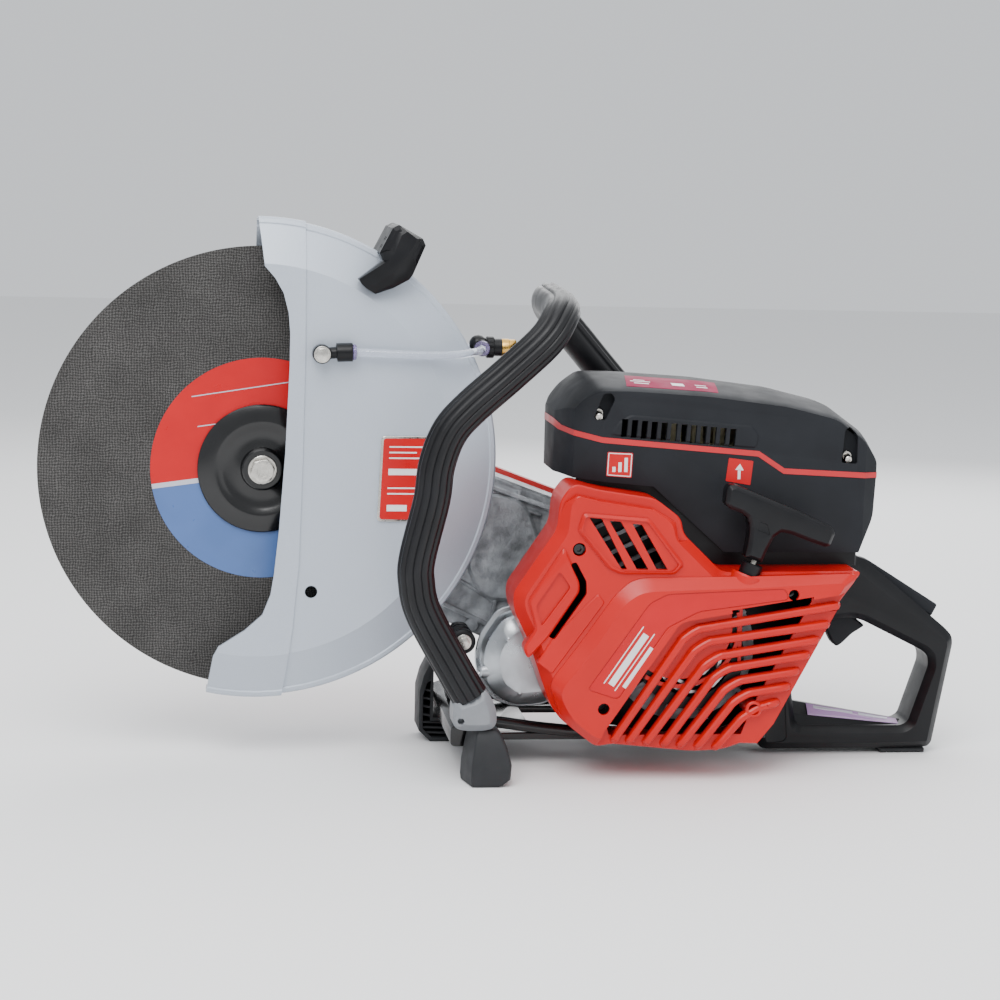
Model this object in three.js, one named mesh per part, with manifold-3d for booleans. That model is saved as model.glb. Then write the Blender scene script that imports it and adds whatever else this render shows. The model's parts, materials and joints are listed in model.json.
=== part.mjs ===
// Rescue saw: a petrol cut-off saw with a guarded abrasive disc on a belt-driven arm.
// Millimetres. +X points to the rear grip, -Y to the starter side, +Z up. The feet stand on z = 0.
import * as THREE from 'three';
import { mergeVertices } from 'three/addons/utils/BufferGeometryUtils.js';
import Module from 'manifold-3d';

const wasm = await Module();
wasm.setup();

// ---------------------------------------------------------------- driving dimensions
const GAP = 0.3;
const DISC_RADIUS = 177.5;
const DISC_THICKNESS = 3;
const DISC_Y = 5;
const ARBOR_RADIUS = 10;
const FLANGE_RADIUS = 50;
const SPINDLE = { x: -198.3, z: 232.9 };
const CRANK = { x: 135, z: 100 };
const BELT = { near: 52, far: 68, thickness: 4 };
const DRIVE_PULLEY_RADIUS = 24;
const DRIVEN_PULLEY_RADIUS = 48;
const HUB_RADIUS = 27;
const GUARD = { radius: 190.5, shiftX: -4, shiftZ: 9, flatRadius: 156, halfWidth: 27, shoulder: 13, wall: 1.8 };
const ARM = { near: 30, wall: 6, far: 74, spindleRadius: 62, crankRadius: 72 };
const BORE_RADIUS = 30;
const THROW = 20.5;
const ROD_LENGTH = 74;
const CYLINDER_Y = -18;
const CYLINDER_LEAN = THREE.MathUtils.degToRad(25);
const COVER = { near: -112, far: -52, wall: 3 };
const HOOD_HALF_WIDTH = 72;
const TUBE_RADIUS = 14;
const HANDLE_NEAR_Y = -104;
const HANDLE_FAR_Y = 104;
const ROPE_Y = -96.5;
const GRIP_LEAN = THREE.MathUtils.degToRad(20);

const ORIGIN = { x: 0, z: 0 };

// ---------------------------------------------------------------- shape helpers
// Closed solid from a three.js geometry, with its shared corners merged and empty triangles dropped.
function solid(geometry) {
  const bare = geometry.index ? geometry.toNonIndexed() : geometry.clone();
  bare.deleteAttribute('normal');
  bare.deleteAttribute('uv');
  const merged = mergeVertices(bare, 1e-4);
  const corners = merged.index.array;
  const kept = [];
  for (let i = 0; i < corners.length; i += 3) {
    const [a, b, c] = [corners[i], corners[i + 1], corners[i + 2]];
    if (a !== b && b !== c && c !== a) kept.push(a, b, c);
  }
  const vertProperties = new Float32Array(merged.attributes.position.array);
  const triVerts = new Uint32Array(kept);
  return new wasm.Manifold(new wasm.Mesh({ numProp: 3, vertProperties, triVerts }));
}

function geometryOf(body) {
  const data = body.getMesh();
  const geometry = new THREE.BufferGeometry();
  const positions = new Float32Array(data.vertProperties);
  geometry.setAttribute('position', new THREE.BufferAttribute(positions, 3));
  geometry.setIndex(new THREE.BufferAttribute(new Uint32Array(data.triVerts), 1));
  geometry.computeVertexNormals();
  return geometry;
}

function shapeOf(outline) {
  return new THREE.Shape(outline.map(([x, z]) => new THREE.Vector2(x, z)));
}

// Closed outline in X and Z, drawn out along Y from near to far; chamfer bevels both ends.
function slab(outline, near, far, chamfer = 0, hole = null) {
  const shape = outline instanceof THREE.Shape ? outline : shapeOf(outline);
  if (hole) shape.holes.push(hole);
  const geometry = new THREE.ExtrudeGeometry(shape, {
    depth: far - near - 2 * chamfer,
    curveSegments: 9,
    bevelEnabled: chamfer > 0,
    bevelThickness: chamfer,
    bevelSize: chamfer,
    bevelOffset: -chamfer,
    bevelSegments: 1,
  });
  geometry.rotateX(Math.PI / 2);
  geometry.translate(0, far - chamfer, 0);
  return solid(geometry);
}

// Box from its low corner to its high corner.
function block(low, high) {
  const size = high.map((value, i) => value - low[i]);
  const middle = high.map((value, i) => (value + low[i]) / 2);
  return solid(new THREE.BoxGeometry(...size).translate(...middle));
}

// Turned piece: profile points are [radius, distance along Y], starting and ending on the axis or closed.
function turned(profile, centre = { x: 0, z: 0 }, segments = 24) {
  const points = profile.map(([r, y]) => new THREE.Vector2(r, y));
  let body = solid(new THREE.LatheGeometry(points, segments));
  if (body.volume() <= 0) body = solid(new THREE.LatheGeometry(points.reverse(), segments));
  return body.translate([centre.x, 0, centre.z]);
}

function rod(radius, near, far, centre, segments = 20) {
  return turned([[0, near], [radius, near], [radius, far], [0, far]], centre, segments);
}

function ring(inner, outer, near, far, centre, segments = 24) {
  const profile = [[inner, near], [outer, near], [outer, far], [inner, far], [inner, near]];
  return turned(profile, centre, segments);
}

// Round bar between two points.
function bar(start, end, radius, segments = 12) {
  const a = new THREE.Vector3(...start);
  const b = new THREE.Vector3(...end);
  const direction = b.clone().sub(a).normalize();
  const turn = new THREE.Quaternion().setFromUnitVectors(new THREE.Vector3(0, 1, 0), direction);
  const geometry = new THREE.CylinderGeometry(radius, radius, a.distanceTo(b), segments);
  geometry.applyQuaternion(turn);
  const middle = a.add(b).multiplyScalar(0.5);
  geometry.translate(...middle.toArray());
  return solid(geometry);
}

// Round bar bent along a smooth curve through the points.
function bentTube(points, radius, steps, sides = 12) {
  const section = new THREE.Shape();
  for (let i = 0; i < sides; i += 1) {
    const angle = (2 * Math.PI * i) / sides;
    const [u, v] = [radius * Math.cos(angle), radius * Math.sin(angle)];
    if (i === 0) section.moveTo(u, v);
    else section.lineTo(u, v);
  }
  section.closePath();
  const stops = points.map((point) => new THREE.Vector3(...point));
  const curve = new THREE.CatmullRomCurve3(stops, false, 'centripetal');
  return solid(new THREE.ExtrudeGeometry(section, { steps, extrudePath: curve, bevelEnabled: false }));
}

// Outline of a belt or arm laid round two circles, the first at the spindle and the second at the crank.
function stadium(spindleRadius, crankRadius) {
  const dx = SPINDLE.x - CRANK.x;
  const dz = SPINDLE.z - CRANK.z;
  const along = Math.atan2(dz, dx);
  const spread = Math.acos((crankRadius - spindleRadius) / Math.hypot(dx, dz));
  const shape = new THREE.Shape();
  shape.absarc(CRANK.x, CRANK.z, crankRadius, along + spread, along - spread, false);
  shape.absarc(SPINDLE.x, SPINDLE.z, spindleRadius, along - spread, along + spread, false);
  shape.closePath();
  return shape;
}

// Point on the cylinder's centre line at a height above the crank, with an offset to the rear of it.
function bore(height, rear = 0, y = CYLINDER_Y) {
  const [s, c] = [Math.sin(CYLINDER_LEAN), Math.cos(CYLINDER_LEAN)];
  return [CRANK.x - s * height + c * rear, y, CRANK.z + c * height + s * rear];
}

// Turned piece on the cylinder's centre line: profile points are [radius, height above the crank].
function onBore(profile, segments = 24) {
  const body = turned(profile, ORIGIN, segments).rotate([90, 0, 0]);
  return body.rotate([0, -THREE.MathUtils.radToDeg(CYLINDER_LEAN), 0]).translate([CRANK.x, CYLINDER_Y, CRANK.z]);
}

function union(...bodies) {
  return bodies.reduce((sum, body) => sum.add(body));
}

// ---------------------------------------------------------------- materials
function material(color, roughness, metalness) {
  return new THREE.MeshStandardMaterial({ color, roughness, metalness });
}

const finish = {
  abrasive: material(0x585655, 0.95, 0.0),
  blackSteel: material(0x18181a, 0.25, 0.6),
  zinc: material(0xb9b9b4, 0.35, 0.9),
  steel: material(0x9a9da0, 0.35, 0.9),
  bearing: material(0xc4c6c8, 0.2, 1.0),
  guardPaint: material(0xbec8d4, 0.45, 0.35),
  castMagnesium: material(0x8b9095, 0.6, 0.5),
  stamped: material(0xaab2b7, 0.4, 0.8),
  redPlastic: material(0xe43226, 0.35, 0.0),
  charcoalPlastic: material(0x34363a, 0.45, 0.0),
  blackPlastic: material(0x16171a, 0.4, 0.0),
  rubber: material(0x232428, 0.8, 0.0),
  footRubber: material(0x3e4042, 0.85, 0.0),
  greyPlastic: material(0x969ba0, 0.5, 0.0),
  clearHose: material(0xd6dae4, 0.2, 0.0),
  brass: material(0xbe963c, 0.3, 0.9),
  label: material(0xd8202a, 0.4, 0.0),
  filterPaper: material(0xd9cfa8, 0.9, 0.0),
  rope: material(0xd8d8d0, 0.9, 0.0),
  tank: material(0xdedbcc, 0.5, 0.0),
};

const saw = new THREE.Group();

function place(name, body, look, parent = saw) {
  const mesh = new THREE.Mesh(geometryOf(body), look);
  mesh.name = name;
  parent.add(mesh);
}

function groupAt(centre) {
  const group = new THREE.Group();
  group.position.set(centre.x, 0, centre.z);
  saw.add(group);
  return group;
}

// ---------------------------------------------------------------- disc and spindle
const discNear = DISC_Y - DISC_THICKNESS / 2;
const discFar = DISC_Y + DISC_THICKNESS / 2;
const shaftNear = -5.5;
const shaftFar = 80;

function abrasiveDisc() {
  return ring(ARBOR_RADIUS + GAP, DISC_RADIUS, discNear, discFar, ORIGIN, 48);
}

function outerFlange() {
  const back = discNear - GAP;
  const profile = [[ARBOR_RADIUS + GAP, back], [FLANGE_RADIUS, back], [FLANGE_RADIUS, back - 2.4],
    [47, back - 4.8], [35, back - 5.6], [32, back - 3.6], [17, back - 3.6], [15.5, back - 9],
    [ARBOR_RADIUS + GAP, back - 9]];
  return turned([...profile, profile[0]], ORIGIN, 32);
}

function innerFlange() {
  const front = discFar + GAP;
  const profile = [[ARBOR_RADIUS + GAP, front], [FLANGE_RADIUS, front], [FLANGE_RADIUS, front + 3],
    [22, front + 6], [16, front + 11], [ARBOR_RADIUS + GAP, front + 11]];
  return turned([...profile, profile[0]], ORIGIN, 28);
}

function spindleShaft() {
  return rod(ARBOR_RADIUS, shaftNear, shaftFar).subtract(rod(5.3, shaftNear - 1, 24));
}

function discBolt() {
  const head = rod(9.8, -14.5, -8.2, ORIGIN, 6);
  return union(head, rod(5, -8.5, 20));
}

function boltWasher() {
  return ring(5.4, 10.8, -7.9, -6.2, ORIGIN, 24);
}

function drivenPulley() {
  const [floor, rim] = [DRIVEN_PULLEY_RADIUS, DRIVEN_PULLEY_RADIUS + 3];
  const [near, far] = [BELT.near, BELT.far];
  const profile = [[ARBOR_RADIUS + GAP, near - 2], [rim, near - 2], [rim, near - GAP], [floor, near - GAP],
    [floor, far], [floor - 5, far], [floor - 5, near + 5], [20, near + 5], [20, far + 2],
    [ARBOR_RADIUS + GAP, far + 2]];
  return turned([...profile, profile[0]], ORIGIN, 28);
}

const wheel = groupAt(SPINDLE);
place('abrasive_disc', abrasiveDisc(), finish.abrasive, wheel);
place('outer_flange', outerFlange(), finish.blackSteel, wheel);
place('inner_flange', innerFlange(), finish.blackSteel, wheel);
place('spindle_shaft', spindleShaft(), finish.steel, wheel);
place('disc_bolt', discBolt(), finish.zinc, wheel);
place('bolt_washer', boltWasher(), finish.zinc, wheel);
place('driven_pulley', drivenPulley(), finish.steel, wheel);

// ---------------------------------------------------------------- guard, centred on the spindle
// Shell of the guard as a full turn: flat sides, a cone on each side, and the rim band.
function guardTurn() {
  const { radius, flatRadius, halfWidth, shoulder, wall } = GUARD;
  const outer = [[0, -halfWidth], [flatRadius, -halfWidth], [radius, -shoulder], [radius, shoulder],
    [flatRadius, halfWidth], [0, halfWidth]];
  const inner = [[0, -halfWidth + wall], [flatRadius - 1, -halfWidth + wall], [radius - wall, -shoulder + 1.5],
    [radius - wall, shoulder - 1.5], [flatRadius - 1, halfWidth - wall], [0, halfWidth - wall]];
  const centre = { x: GUARD.shiftX, z: GUARD.shiftZ };
  return turned(outer, centre, 48).subtract(turned(inner, centre, 48));
}

// Region of the near side that the guard covers: its front edge runs from the top lip to the bottom lip.
function guardNearRegion() {
  return [[-6.1, 215], [-3.4, 183], [-0.5, 163], [7.3, 153.8], [14, 142.2], [18.1, 126.8], [19.6, 111.2],
    [19.4, 85.2], [16.9, 17], [12.6, -46.6], [9.1, -81.3], [0.3, -113.4], [-15.3, -126.8], [-36.2, -140.2],
    [-45, -215], [215, -215], [215, 215]];
}

function guardFarRegion() {
  return [[-6.1, 215], [-20, 60], [-50, 34], [-50, -34], [-20, -60], [-45, -215], [215, -215], [215, 215]];
}

function guardShell() {
  const shell = guardTurn();
  const near = shell.intersect(slab(guardNearRegion(), -40, 0.5));
  const far = shell.intersect(slab(guardFarRegion(), 0, 40));
  const hub = rod(HUB_RADIUS + 1, 15, 40, ORIGIN, 32);
  return union(near, far).subtract(hub);
}

// Lever that tilts the guard: two legs down the sides and a bridge over the rim, with a thumb paddle.
function guardLever() {
  const foot = GUARD.radius + 6.5;
  const bridge = slab([[-12, foot], [14, foot], [18, foot + 16], [-6, foot + 22], [-14, foot + 12]], -38, 32, 2);
  const leg = slab([[-12, foot + 10], [-13, foot - 22], [3, foot - 22], [10, foot + 10]], -38, -28.5);
  return union(bridge, leg).rotate([0, 30, 0]);
}

function labelPlate() {
  const outline = [[92.9, 30.6], [138, 30.6], [136, -37.8], [90.3, -37.8]];
  return slab(outline, -28.9, -27.4);
}

// Water fittings: the same banjo bolt and elbow on each side, joined by one line with a tee over the rim.
const BANJO = { x: 44, z: 95.6 };
const HOSE_END = { x: 168, z: 98 };
const HOSE_Y = 34.2;

function waterElbow(side) {
  const outwards = (from, to) => (side < 0 ? [-to, -from] : [from, to]);
  const boss = ring(4.2, 7.5, ...outwards(27.5, 39), BANJO, 16);
  const head = rod(5.6, ...outwards(38.8, 44), BANJO, 6);
  const start = [BANJO.x + 7, side * HOSE_Y, BANJO.z + 1];
  const pipe = bar(start, [BANJO.x + 24, side * HOSE_Y, BANJO.z + 1.6], 4.5, 10);
  return union(boss, pipe, head);
}

function waterLine() {
  const z = BANJO.z + 1.6;
  const near = [[BANJO.x + 24.4, -HOSE_Y, z], [120, -HOSE_Y, z - 1], [150, -33, z],
    [HOSE_END.x, -22, HOSE_END.z + 1]];
  const far = near.map(([x, y, height]) => [x, -y, height]).reverse();
  return bentTube([...near, [HOSE_END.x + 6, 0, HOSE_END.z + 2], ...far], 3.2, 40, 8);
}

function waterCoupling() {
  const start = HOSE_END.x + 9.7;
  const axis = HOSE_END.z + 2;
  const nut = bar([start, 0, axis], [start + 13, 0, axis], 9, 6);
  const tail = bar([start + 12, 0, axis], [start + 25, 0, axis], 7, 12);
  return union(nut, tail).subtract(bar([start + 8, 0, axis], [start + 27, 0, axis], 4, 12));
}

const guard = groupAt(SPINDLE);
place('guard_shell', guardShell(), finish.guardPaint, guard);
place('guard_lever', guardLever(), finish.blackPlastic, guard);
place('guard_label_plate', labelPlate(), finish.label, guard);
place('water_elbow_near', waterElbow(-1), finish.blackPlastic, guard);
place('water_elbow_far', waterElbow(1), finish.blackPlastic, guard);
place('water_line', waterLine(), finish.clearHose, guard);
place('water_coupling', waterCoupling(), finish.brass, guard);

// ---------------------------------------------------------------- belt arm
function armCasting() {
  const { near, wall, far, spindleRadius, crankRadius } = ARM;
  const outside = slab(stadium(spindleRadius, crankRadius), near, far);
  const pocket = slab(stadium(spindleRadius - 4, crankRadius - 4), near + wall, far + 1);
  const hub = rod(HUB_RADIUS, near - 11, near + 16, SPINDLE);
  const bearingSeat = rod(18, near - 12, near + 17, SPINDLE);
  const shaftHole = rod(20, near - 1, near + wall + 1, CRANK);
  return outside.subtract(pocket).add(hub).subtract(bearingSeat).subtract(shaftHole);
}

function beltCover() {
  const { far, spindleRadius, crankRadius } = ARM;
  const outside = slab(stadium(spindleRadius, crankRadius), far + GAP, far + 23, 5);
  const pocket = slab(stadium(spindleRadius - 8, crankRadius - 8), far - 6, far + 20);
  return outside.subtract(pocket);
}

function driveBelt() {
  const [driven, drive] = [DRIVEN_PULLEY_RADIUS + GAP, DRIVE_PULLEY_RADIUS + GAP];
  const outside = stadium(driven + BELT.thickness, drive + BELT.thickness);
  return slab(outside, BELT.near, BELT.far, 0, stadium(driven, drive));
}

place('arm_casting', armCasting(), finish.castMagnesium);
place('belt_cover', beltCover(), finish.redPlastic);
place('drive_belt', driveBelt(), finish.rubber);
place('spindle_bearing', ring(ARBOR_RADIUS + GAP, 17.7, 20, 45, SPINDLE), finish.bearing);

// ---------------------------------------------------------------- clutch and crank, on the crank axis
function clutchDrum() {
  const near = BELT.near;
  const profile = [[8.4, near - 3], [35, near - 3], [35, near - 15], [38, near - 15], [38, near - GAP],
    [DRIVE_PULLEY_RADIUS, near - GAP], [DRIVE_PULLEY_RADIUS, BELT.far + GAP], [27, BELT.far + GAP],
    [27, BELT.far + 2], [8.4, BELT.far + 2]];
  return turned([...profile, profile[0]], ORIGIN, 28);
}

function clutchShoes() {
  let body = ring(8.2, 15, 38.5, 48, ORIGIN, 24);
  for (const turn of [0, 120, 240]) {
    const shoe = new THREE.Shape();
    shoe.absarc(0, 0, 34, -0.85, 0.85, false);
    shoe.absarc(0, 0, 23, 0.85, -0.85, true);
    shoe.closePath();
    const spoke = block([13, 38.5, -4], [25, 48, 4]);
    body = body.add(union(slab(shoe, 38.5, 48), spoke).rotate([0, turn, 0]));
  }
  return body;
}

const WEB_NEAR = { near: CYLINDER_Y - 19, far: CYLINDER_Y - 8 };
const WEB_FAR = { near: CYLINDER_Y + 8, far: CYLINDER_Y + 19 };

function crankshaft() {
  const pinAt = { x: -THROW * Math.sin(CYLINDER_LEAN), z: THROW * Math.cos(CYLINDER_LEAN) };
  const webs = union(rod(37, WEB_NEAR.near, WEB_NEAR.far), rod(37, WEB_FAR.near, WEB_FAR.far));
  const pin = rod(7, WEB_NEAR.near + 1, WEB_FAR.far - 1, pinAt);
  return union(rod(8, -89, WEB_NEAR.near + 1), webs, pin, rod(8, WEB_FAR.far - 1, 74));
}

function flywheel() {
  let body = ring(8.2, 58, -69, -62.5, ORIGIN, 32).add(ring(8.2, 18, -87, -68, ORIGIN, 20));
  const bladeCount = 10;
  for (let i = 0; i < bladeCount; i += 1) {
    const blade = block([30, -85, -1.5], [57, -68.5, 1.5]);
    body = body.add(blade.rotate([0, (360 * i) / bladeCount, 0]));
  }
  return body;
}

const clutch = groupAt(CRANK);
place('clutch_drum', clutchDrum(), finish.steel, clutch);
const crank = groupAt(CRANK);
place('crankshaft', crankshaft(), finish.steel, crank);
place('flywheel', flywheel(), finish.castMagnesium, crank);
place('clutch_shoes', clutchShoes(), finish.steel, crank);

// ---------------------------------------------------------------- engine
function crankcase() {
  const near = CYLINDER_Y - 38;
  const far = ARM.near - GAP;
  const body = rod(54, near, far, CRANK, 32);
  const foot = block([86, near, 46], [184, far, 66]);
  const deck = onBore([[0, 30], [44, 30], [44, 64], [0, 64]]);
  const chamber = rod(40, WEB_NEAR.near - 2, WEB_FAR.far + 2, CRANK, 28);
  const seats = rod(18, near - 1, far + 1, CRANK);
  const spigot = onBore([[0, 0], [34.5, 0], [34.5, 70], [0, 70]]);
  return union(body, foot, deck).subtract(union(chamber, seats, spigot));
}

function bearing(near) {
  return ring(8.2, 17.7, near, near + 10, CRANK);
}

// Square block across the cylinder's centre line, between two heights above the crank.
function finBlock(half, low, high) {
  const upright = block([-half, -half, low], [half, half, high]);
  const leaning = upright.rotate([0, -THREE.MathUtils.radToDeg(CYLINDER_LEAN), 0]);
  return leaning.translate([CRANK.x, CYLINDER_Y, CRANK.z]);
}

function cylinder() {
  const skirt = onBore([[0, 46], [34.2, 46], [34.2, 66], [0, 66]]);
  const flange = onBore([[0, 64.3], [44, 64.3], [44, 70], [0, 70]]);
  let body = union(skirt, flange, onBore([[0, 66], [38, 66], [38, 122], [0, 122]]));
  const finPitch = 12;
  for (let height = 80; height <= 116; height += finPitch) body = body.add(finBlock(43, height, height + 3));
  const hollow = onBore([[0, 40], [BORE_RADIUS, 40], [BORE_RADIUS, 114], [0, 114]]);
  const plugHole = onBore([[0, 110], [6.6, 110], [6.6, 130], [0, 130]], 16);
  const ports = union(bar(bore(84, 20), bore(84, 50), 9), bar(bore(88, -20), bore(88, -50), 10));
  const valveHole = bar(bore(108, -10), bore(108, -50), 3.8, 12);
  return body.subtract(union(hollow, plugHole, ports, valveHole));
}

function sparkPlug() {
  const profile = [[0, 111], [6.2, 111], [6.2, 122.4], [10, 122.4], [10, 129], [5, 130], [4, 143], [0, 143]];
  return onBore(profile, 16);
}

function decompressionButton() {
  return union(bar(bore(108, -34), bore(108, -49), 3.4, 10), bar(bore(108, -48), bore(108, -55), 6, 14));
}

function piston() {
  const pinHeight = THROW + ROD_LENGTH;
  const top = pinHeight + 16;
  const skirt = pinHeight - 16;
  const body = onBore([[0, skirt], [BORE_RADIUS - 0.4, skirt], [BORE_RADIUS - 0.4, top], [0, top]]);
  const hollow = onBore([[0, skirt - 1], [BORE_RADIUS - 4, skirt - 1], [BORE_RADIUS - 4, top - 5], [0, top - 5]]);
  const [x, , z] = bore(pinHeight);
  return body.subtract(hollow).add(rod(6, CYLINDER_Y - 27, CYLINDER_Y + 27, { x, z }, 16));
}

// The big end is left off, so that the crank pin can pass below it.
function connectingRod() {
  const pinHeight = THROW + ROD_LENGTH;
  const [x, , z] = bore(pinHeight);
  const eye = ring(6.3, 10, CYLINDER_Y - 6, CYLINDER_Y + 6, { x, z }, 20);
  const [tipX, , tipZ] = bore(pinHeight - 24);
  const [topX, , topZ] = bore(pinHeight - 8);
  return eye.add(bar([topX, CYLINDER_Y, topZ], [tipX, CYLINDER_Y, tipZ], 5, 12));
}

function muffler() {
  const side = [[-24, 82], [-20, 106], [-6, 124], [16, 126], [44, 112], [44, 58], [26, 46], [-4, 50],
    [-20, 64]];
  const box = slab(side, -50, 10, 5);
  const port = bar(bore(88, -48), [30, CYLINDER_Y, 106], 10);
  const outlet = bar([-36, -30, 80], [-18, -30, 84], 9);
  const exit = bar([-38, -30, 79.6], [-26, -30, 82.2], 6.5);
  return union(box, port, outlet).subtract(exit);
}

function intakeBoot() {
  const tube = bar(bore(84, 49), [189, CYLINDER_Y, 198], 13);
  return tube.subtract(bar(bore(84, 40), [196, CYLINDER_Y, 200], 9));
}

function carburettor() {
  const body = block([190, -40, 180], [222, 4, 218]);
  const throat = rod(9, -1, 40, ORIGIN, 16).rotate([90, 0, 0]).translate([206, CYLINDER_Y, 199]);
  return union(body, rod(8, 3, 16, { x: 206, z: 196 })).subtract(throat);
}

place('crankcase', crankcase(), finish.castMagnesium);
place('main_bearing_near', bearing(CYLINDER_Y - 35), finish.bearing);
place('main_bearing_far', bearing(CYLINDER_Y + 25), finish.bearing);
place('cylinder', cylinder(), finish.castMagnesium);
place('spark_plug', sparkPlug(), finish.zinc);
place('decompression_button', decompressionButton(), finish.redPlastic);
place('piston', piston(), finish.steel);
place('connecting_rod', connectingRod(), finish.steel);
place('muffler', muffler(), finish.stamped);
place('intake_boot', intakeBoot(), finish.rubber);
place('carburettor', carburettor(), finish.castMagnesium);

// ---------------------------------------------------------------- air filter and its hood
const HOOD_SIDE = [[36, 220], [106, 205], [124, 190], [155, 158], [276, 158], [298, 222], [300, 250],
  [284, 275], [256, 293], [150, 309], [60, 313.5], [45, 304], [35, 284]];
const HOOD_CAVITY = [[39.5, 210], [106, 195], [124, 180], [155, 148], [273, 148], [294, 222], [296, 250],
  [281, 272], [255, 289], [150, 305], [61, 309.5], [48, 301], [38.5, 284]];
const BELOW_HOOD = [[20, 244], [37, 241.5], [106, 230.5], [124, 214.5], [165, 178.5], [320, 178.5], [320, 120],
  [20, 120]];

// Captive screws that hold the hood, in a recess at each upper corner.
const SCREW_FRONT = { seat: [62, -56, 290], out: [62, -80, 312] };
const SCREW_REAR = { seat: [268, -56, 266], out: [274, -80, 288] };

function filterCover() {
  const outside = slab(HOOD_SIDE, -HOOD_HALF_WIDTH, HOOD_HALF_WIDTH, 12);
  const cavity = slab(HOOD_CAVITY, -HOOD_HALF_WIDTH + 3, HOOD_HALF_WIDTH - 3, 11);
  let body = outside.subtract(union(cavity, slab(BELOW_HOOD, -80, 80)));
  const ventCount = 12;
  const ventPitch = 7.9;
  for (let i = 0; i < ventCount; i += 1) {
    const x = 81 + ventPitch * i;
    const drop = 0.4 * i;
    body = body.subtract(block([x, -80, 264 - drop], [x + 4.6, -60, 280 - drop]));
  }
  const recesses = [SCREW_FRONT, SCREW_REAR].map(({ seat, out }) => bar(seat, out, 6.5));
  return body.subtract(union(...recesses));
}

function coverScrew({ seat, out }) {
  const [a, b] = [new THREE.Vector3(...seat), new THREE.Vector3(...out)];
  const step = b.sub(a).normalize();
  const at = (distance) => a.clone().addScaledVector(step, distance).toArray();
  const screw = union(bar(at(0.5), at(8), 6, 16), bar(at(-12), at(1), 3, 10));
  return screw.subtract(bar(at(4), at(9), 2.5, 6));
}

function filterBase() {
  const plate = block([47, -58, 243], [289, 58, 247]);
  const throat = block([192, -34, 240], [220, -2, 250]);
  const rearWall = block([270, -50, 186], [274, 50, 244]);
  return union(plate, rearWall).subtract(throat);
}

function airFilter() {
  let body = block([120, -48, 247.3], [250, 48, 262]);
  const pleatCount = 7;
  const pleatPitch = 17.5;
  for (let i = 0; i < pleatCount; i += 1) {
    const x = 124 + pleatPitch * i;
    body = body.add(block([x, -44, 261], [x + 9, 44, 278]));
  }
  return body;
}

place('filter_cover', filterCover(), finish.charcoalPlastic);
place('cover_screw_front', coverScrew(SCREW_FRONT), finish.blackSteel);
place('cover_screw_rear', coverScrew(SCREW_REAR), finish.blackSteel);
place('filter_base', filterBase(), finish.blackPlastic);
place('air_filter', airFilter(), finish.filterPaper);

// ---------------------------------------------------------------- starter
const COVER_SIDE = [[38, 236], [58, 231], [103, 224.5], [124, 209], [126, 197], [161, 164], [272, 166],
  [256, 140], [200, 36], [165, 24], [136, 23], [72, 30], [60, 28], [32, 50], [24, 62], [6, 112], [-6, 136],
  [-7, 150], [27, 200], [28, 223]];

const GUIDE = { x: 178, z: 163 };
const PULL = [Math.sin(GRIP_LEAN), 0, Math.cos(GRIP_LEAN)];

// Point along the pull line, measured from the guide's seat.
function onPull(distance) {
  return [GUIDE.x + PULL[0] * distance, ROPE_Y, GUIDE.z + PULL[2] * distance];
}

// Bent louvre slots: a rising leg from the lower edge and a leg that runs to the rear edge.
function louvre(index) {
  const pitch = 12.3;
  const [cornerX, cornerZ] = [136 + 8.2 * index, 118 - 10.6 * index];
  const foot = [cornerX - 52 + 5.5 * index, 49 - 1.2 * index];
  const tip = [cornerX + 88 - 15 * index, cornerZ + 16 - 2.6 * index];
  const width = pitch * 0.48;
  const outline = [foot, [cornerX, cornerZ], tip, [tip[0] + 1, tip[1] - width],
    [cornerX + 4, cornerZ - width], [foot[0] + width + 3, foot[1]]];
  return slab(outline, COVER.near - 5, COVER.near + 12);
}

function intakeSlot(index) {
  const x = 52 + 17 * index;
  const outline = [[x, 207], [x + 9, 206], [x + 30, 170], [x + 20, 170]];
  return slab(outline, COVER.near - 5, COVER.near + 12);
}

function starterCover() {
  const inset = (value, middle, scale) => middle + (value - middle) * scale;
  const cavitySide = COVER_SIDE.map(([x, z]) => [inset(x, 130, 0.965), inset(z, 125, 0.965)]);
  const outside = slab(COVER_SIDE, COVER.near, COVER.far + 12, 12);
  const behind = block([-60, COVER.far, 0], [320, COVER.far + 20, 260]);
  const cavity = slab(cavitySide, COVER.near + COVER.wall, COVER.far + 20, 11);
  const drumPost = rod(6, COVER.near + 2, -89.5, CRANK, 16);
  const ropeHole = bar(onPull(-20), onPull(20), 7.2, 16);
  const louvres = [0, 1, 2, 3, 4, 5].map(louvre);
  const intakes = [0, 1, 2].map(intakeSlot);
  const body = outside.subtract(union(cavity, behind, finBlock(45, 70, 130))).add(drumPost);
  return body.subtract(union(...louvres, ...intakes, ropeHole));
}

function ropeGuide() {
  const collar = union(bar(onPull(-8), onPull(6.5), 6.8, 16), bar(onPull(5.5), onPull(10), 9, 16));
  return collar.subtract(bar(onPull(-10), onPull(12), 3, 8));
}

function recoilSpring() {
  const turns = 3;
  const steps = 14 * turns;
  const outer = [];
  const inner = [];
  for (let i = 0; i <= steps; i += 1) {
    const angle = (2 * Math.PI * turns * i) / steps;
    const radius = 11 + (19 * i) / steps;
    outer.push(new THREE.Vector2((radius + 1.2) * Math.cos(angle), (radius + 1.2) * Math.sin(angle)));
    inner.push(new THREE.Vector2((radius - 1.2) * Math.cos(angle), (radius - 1.2) * Math.sin(angle)));
  }
  const spiral = new THREE.Shape([...outer, ...inner.reverse()]);
  return slab(spiral, -102.7, -97.7).translate([CRANK.x, 0, CRANK.z]);
}

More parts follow.
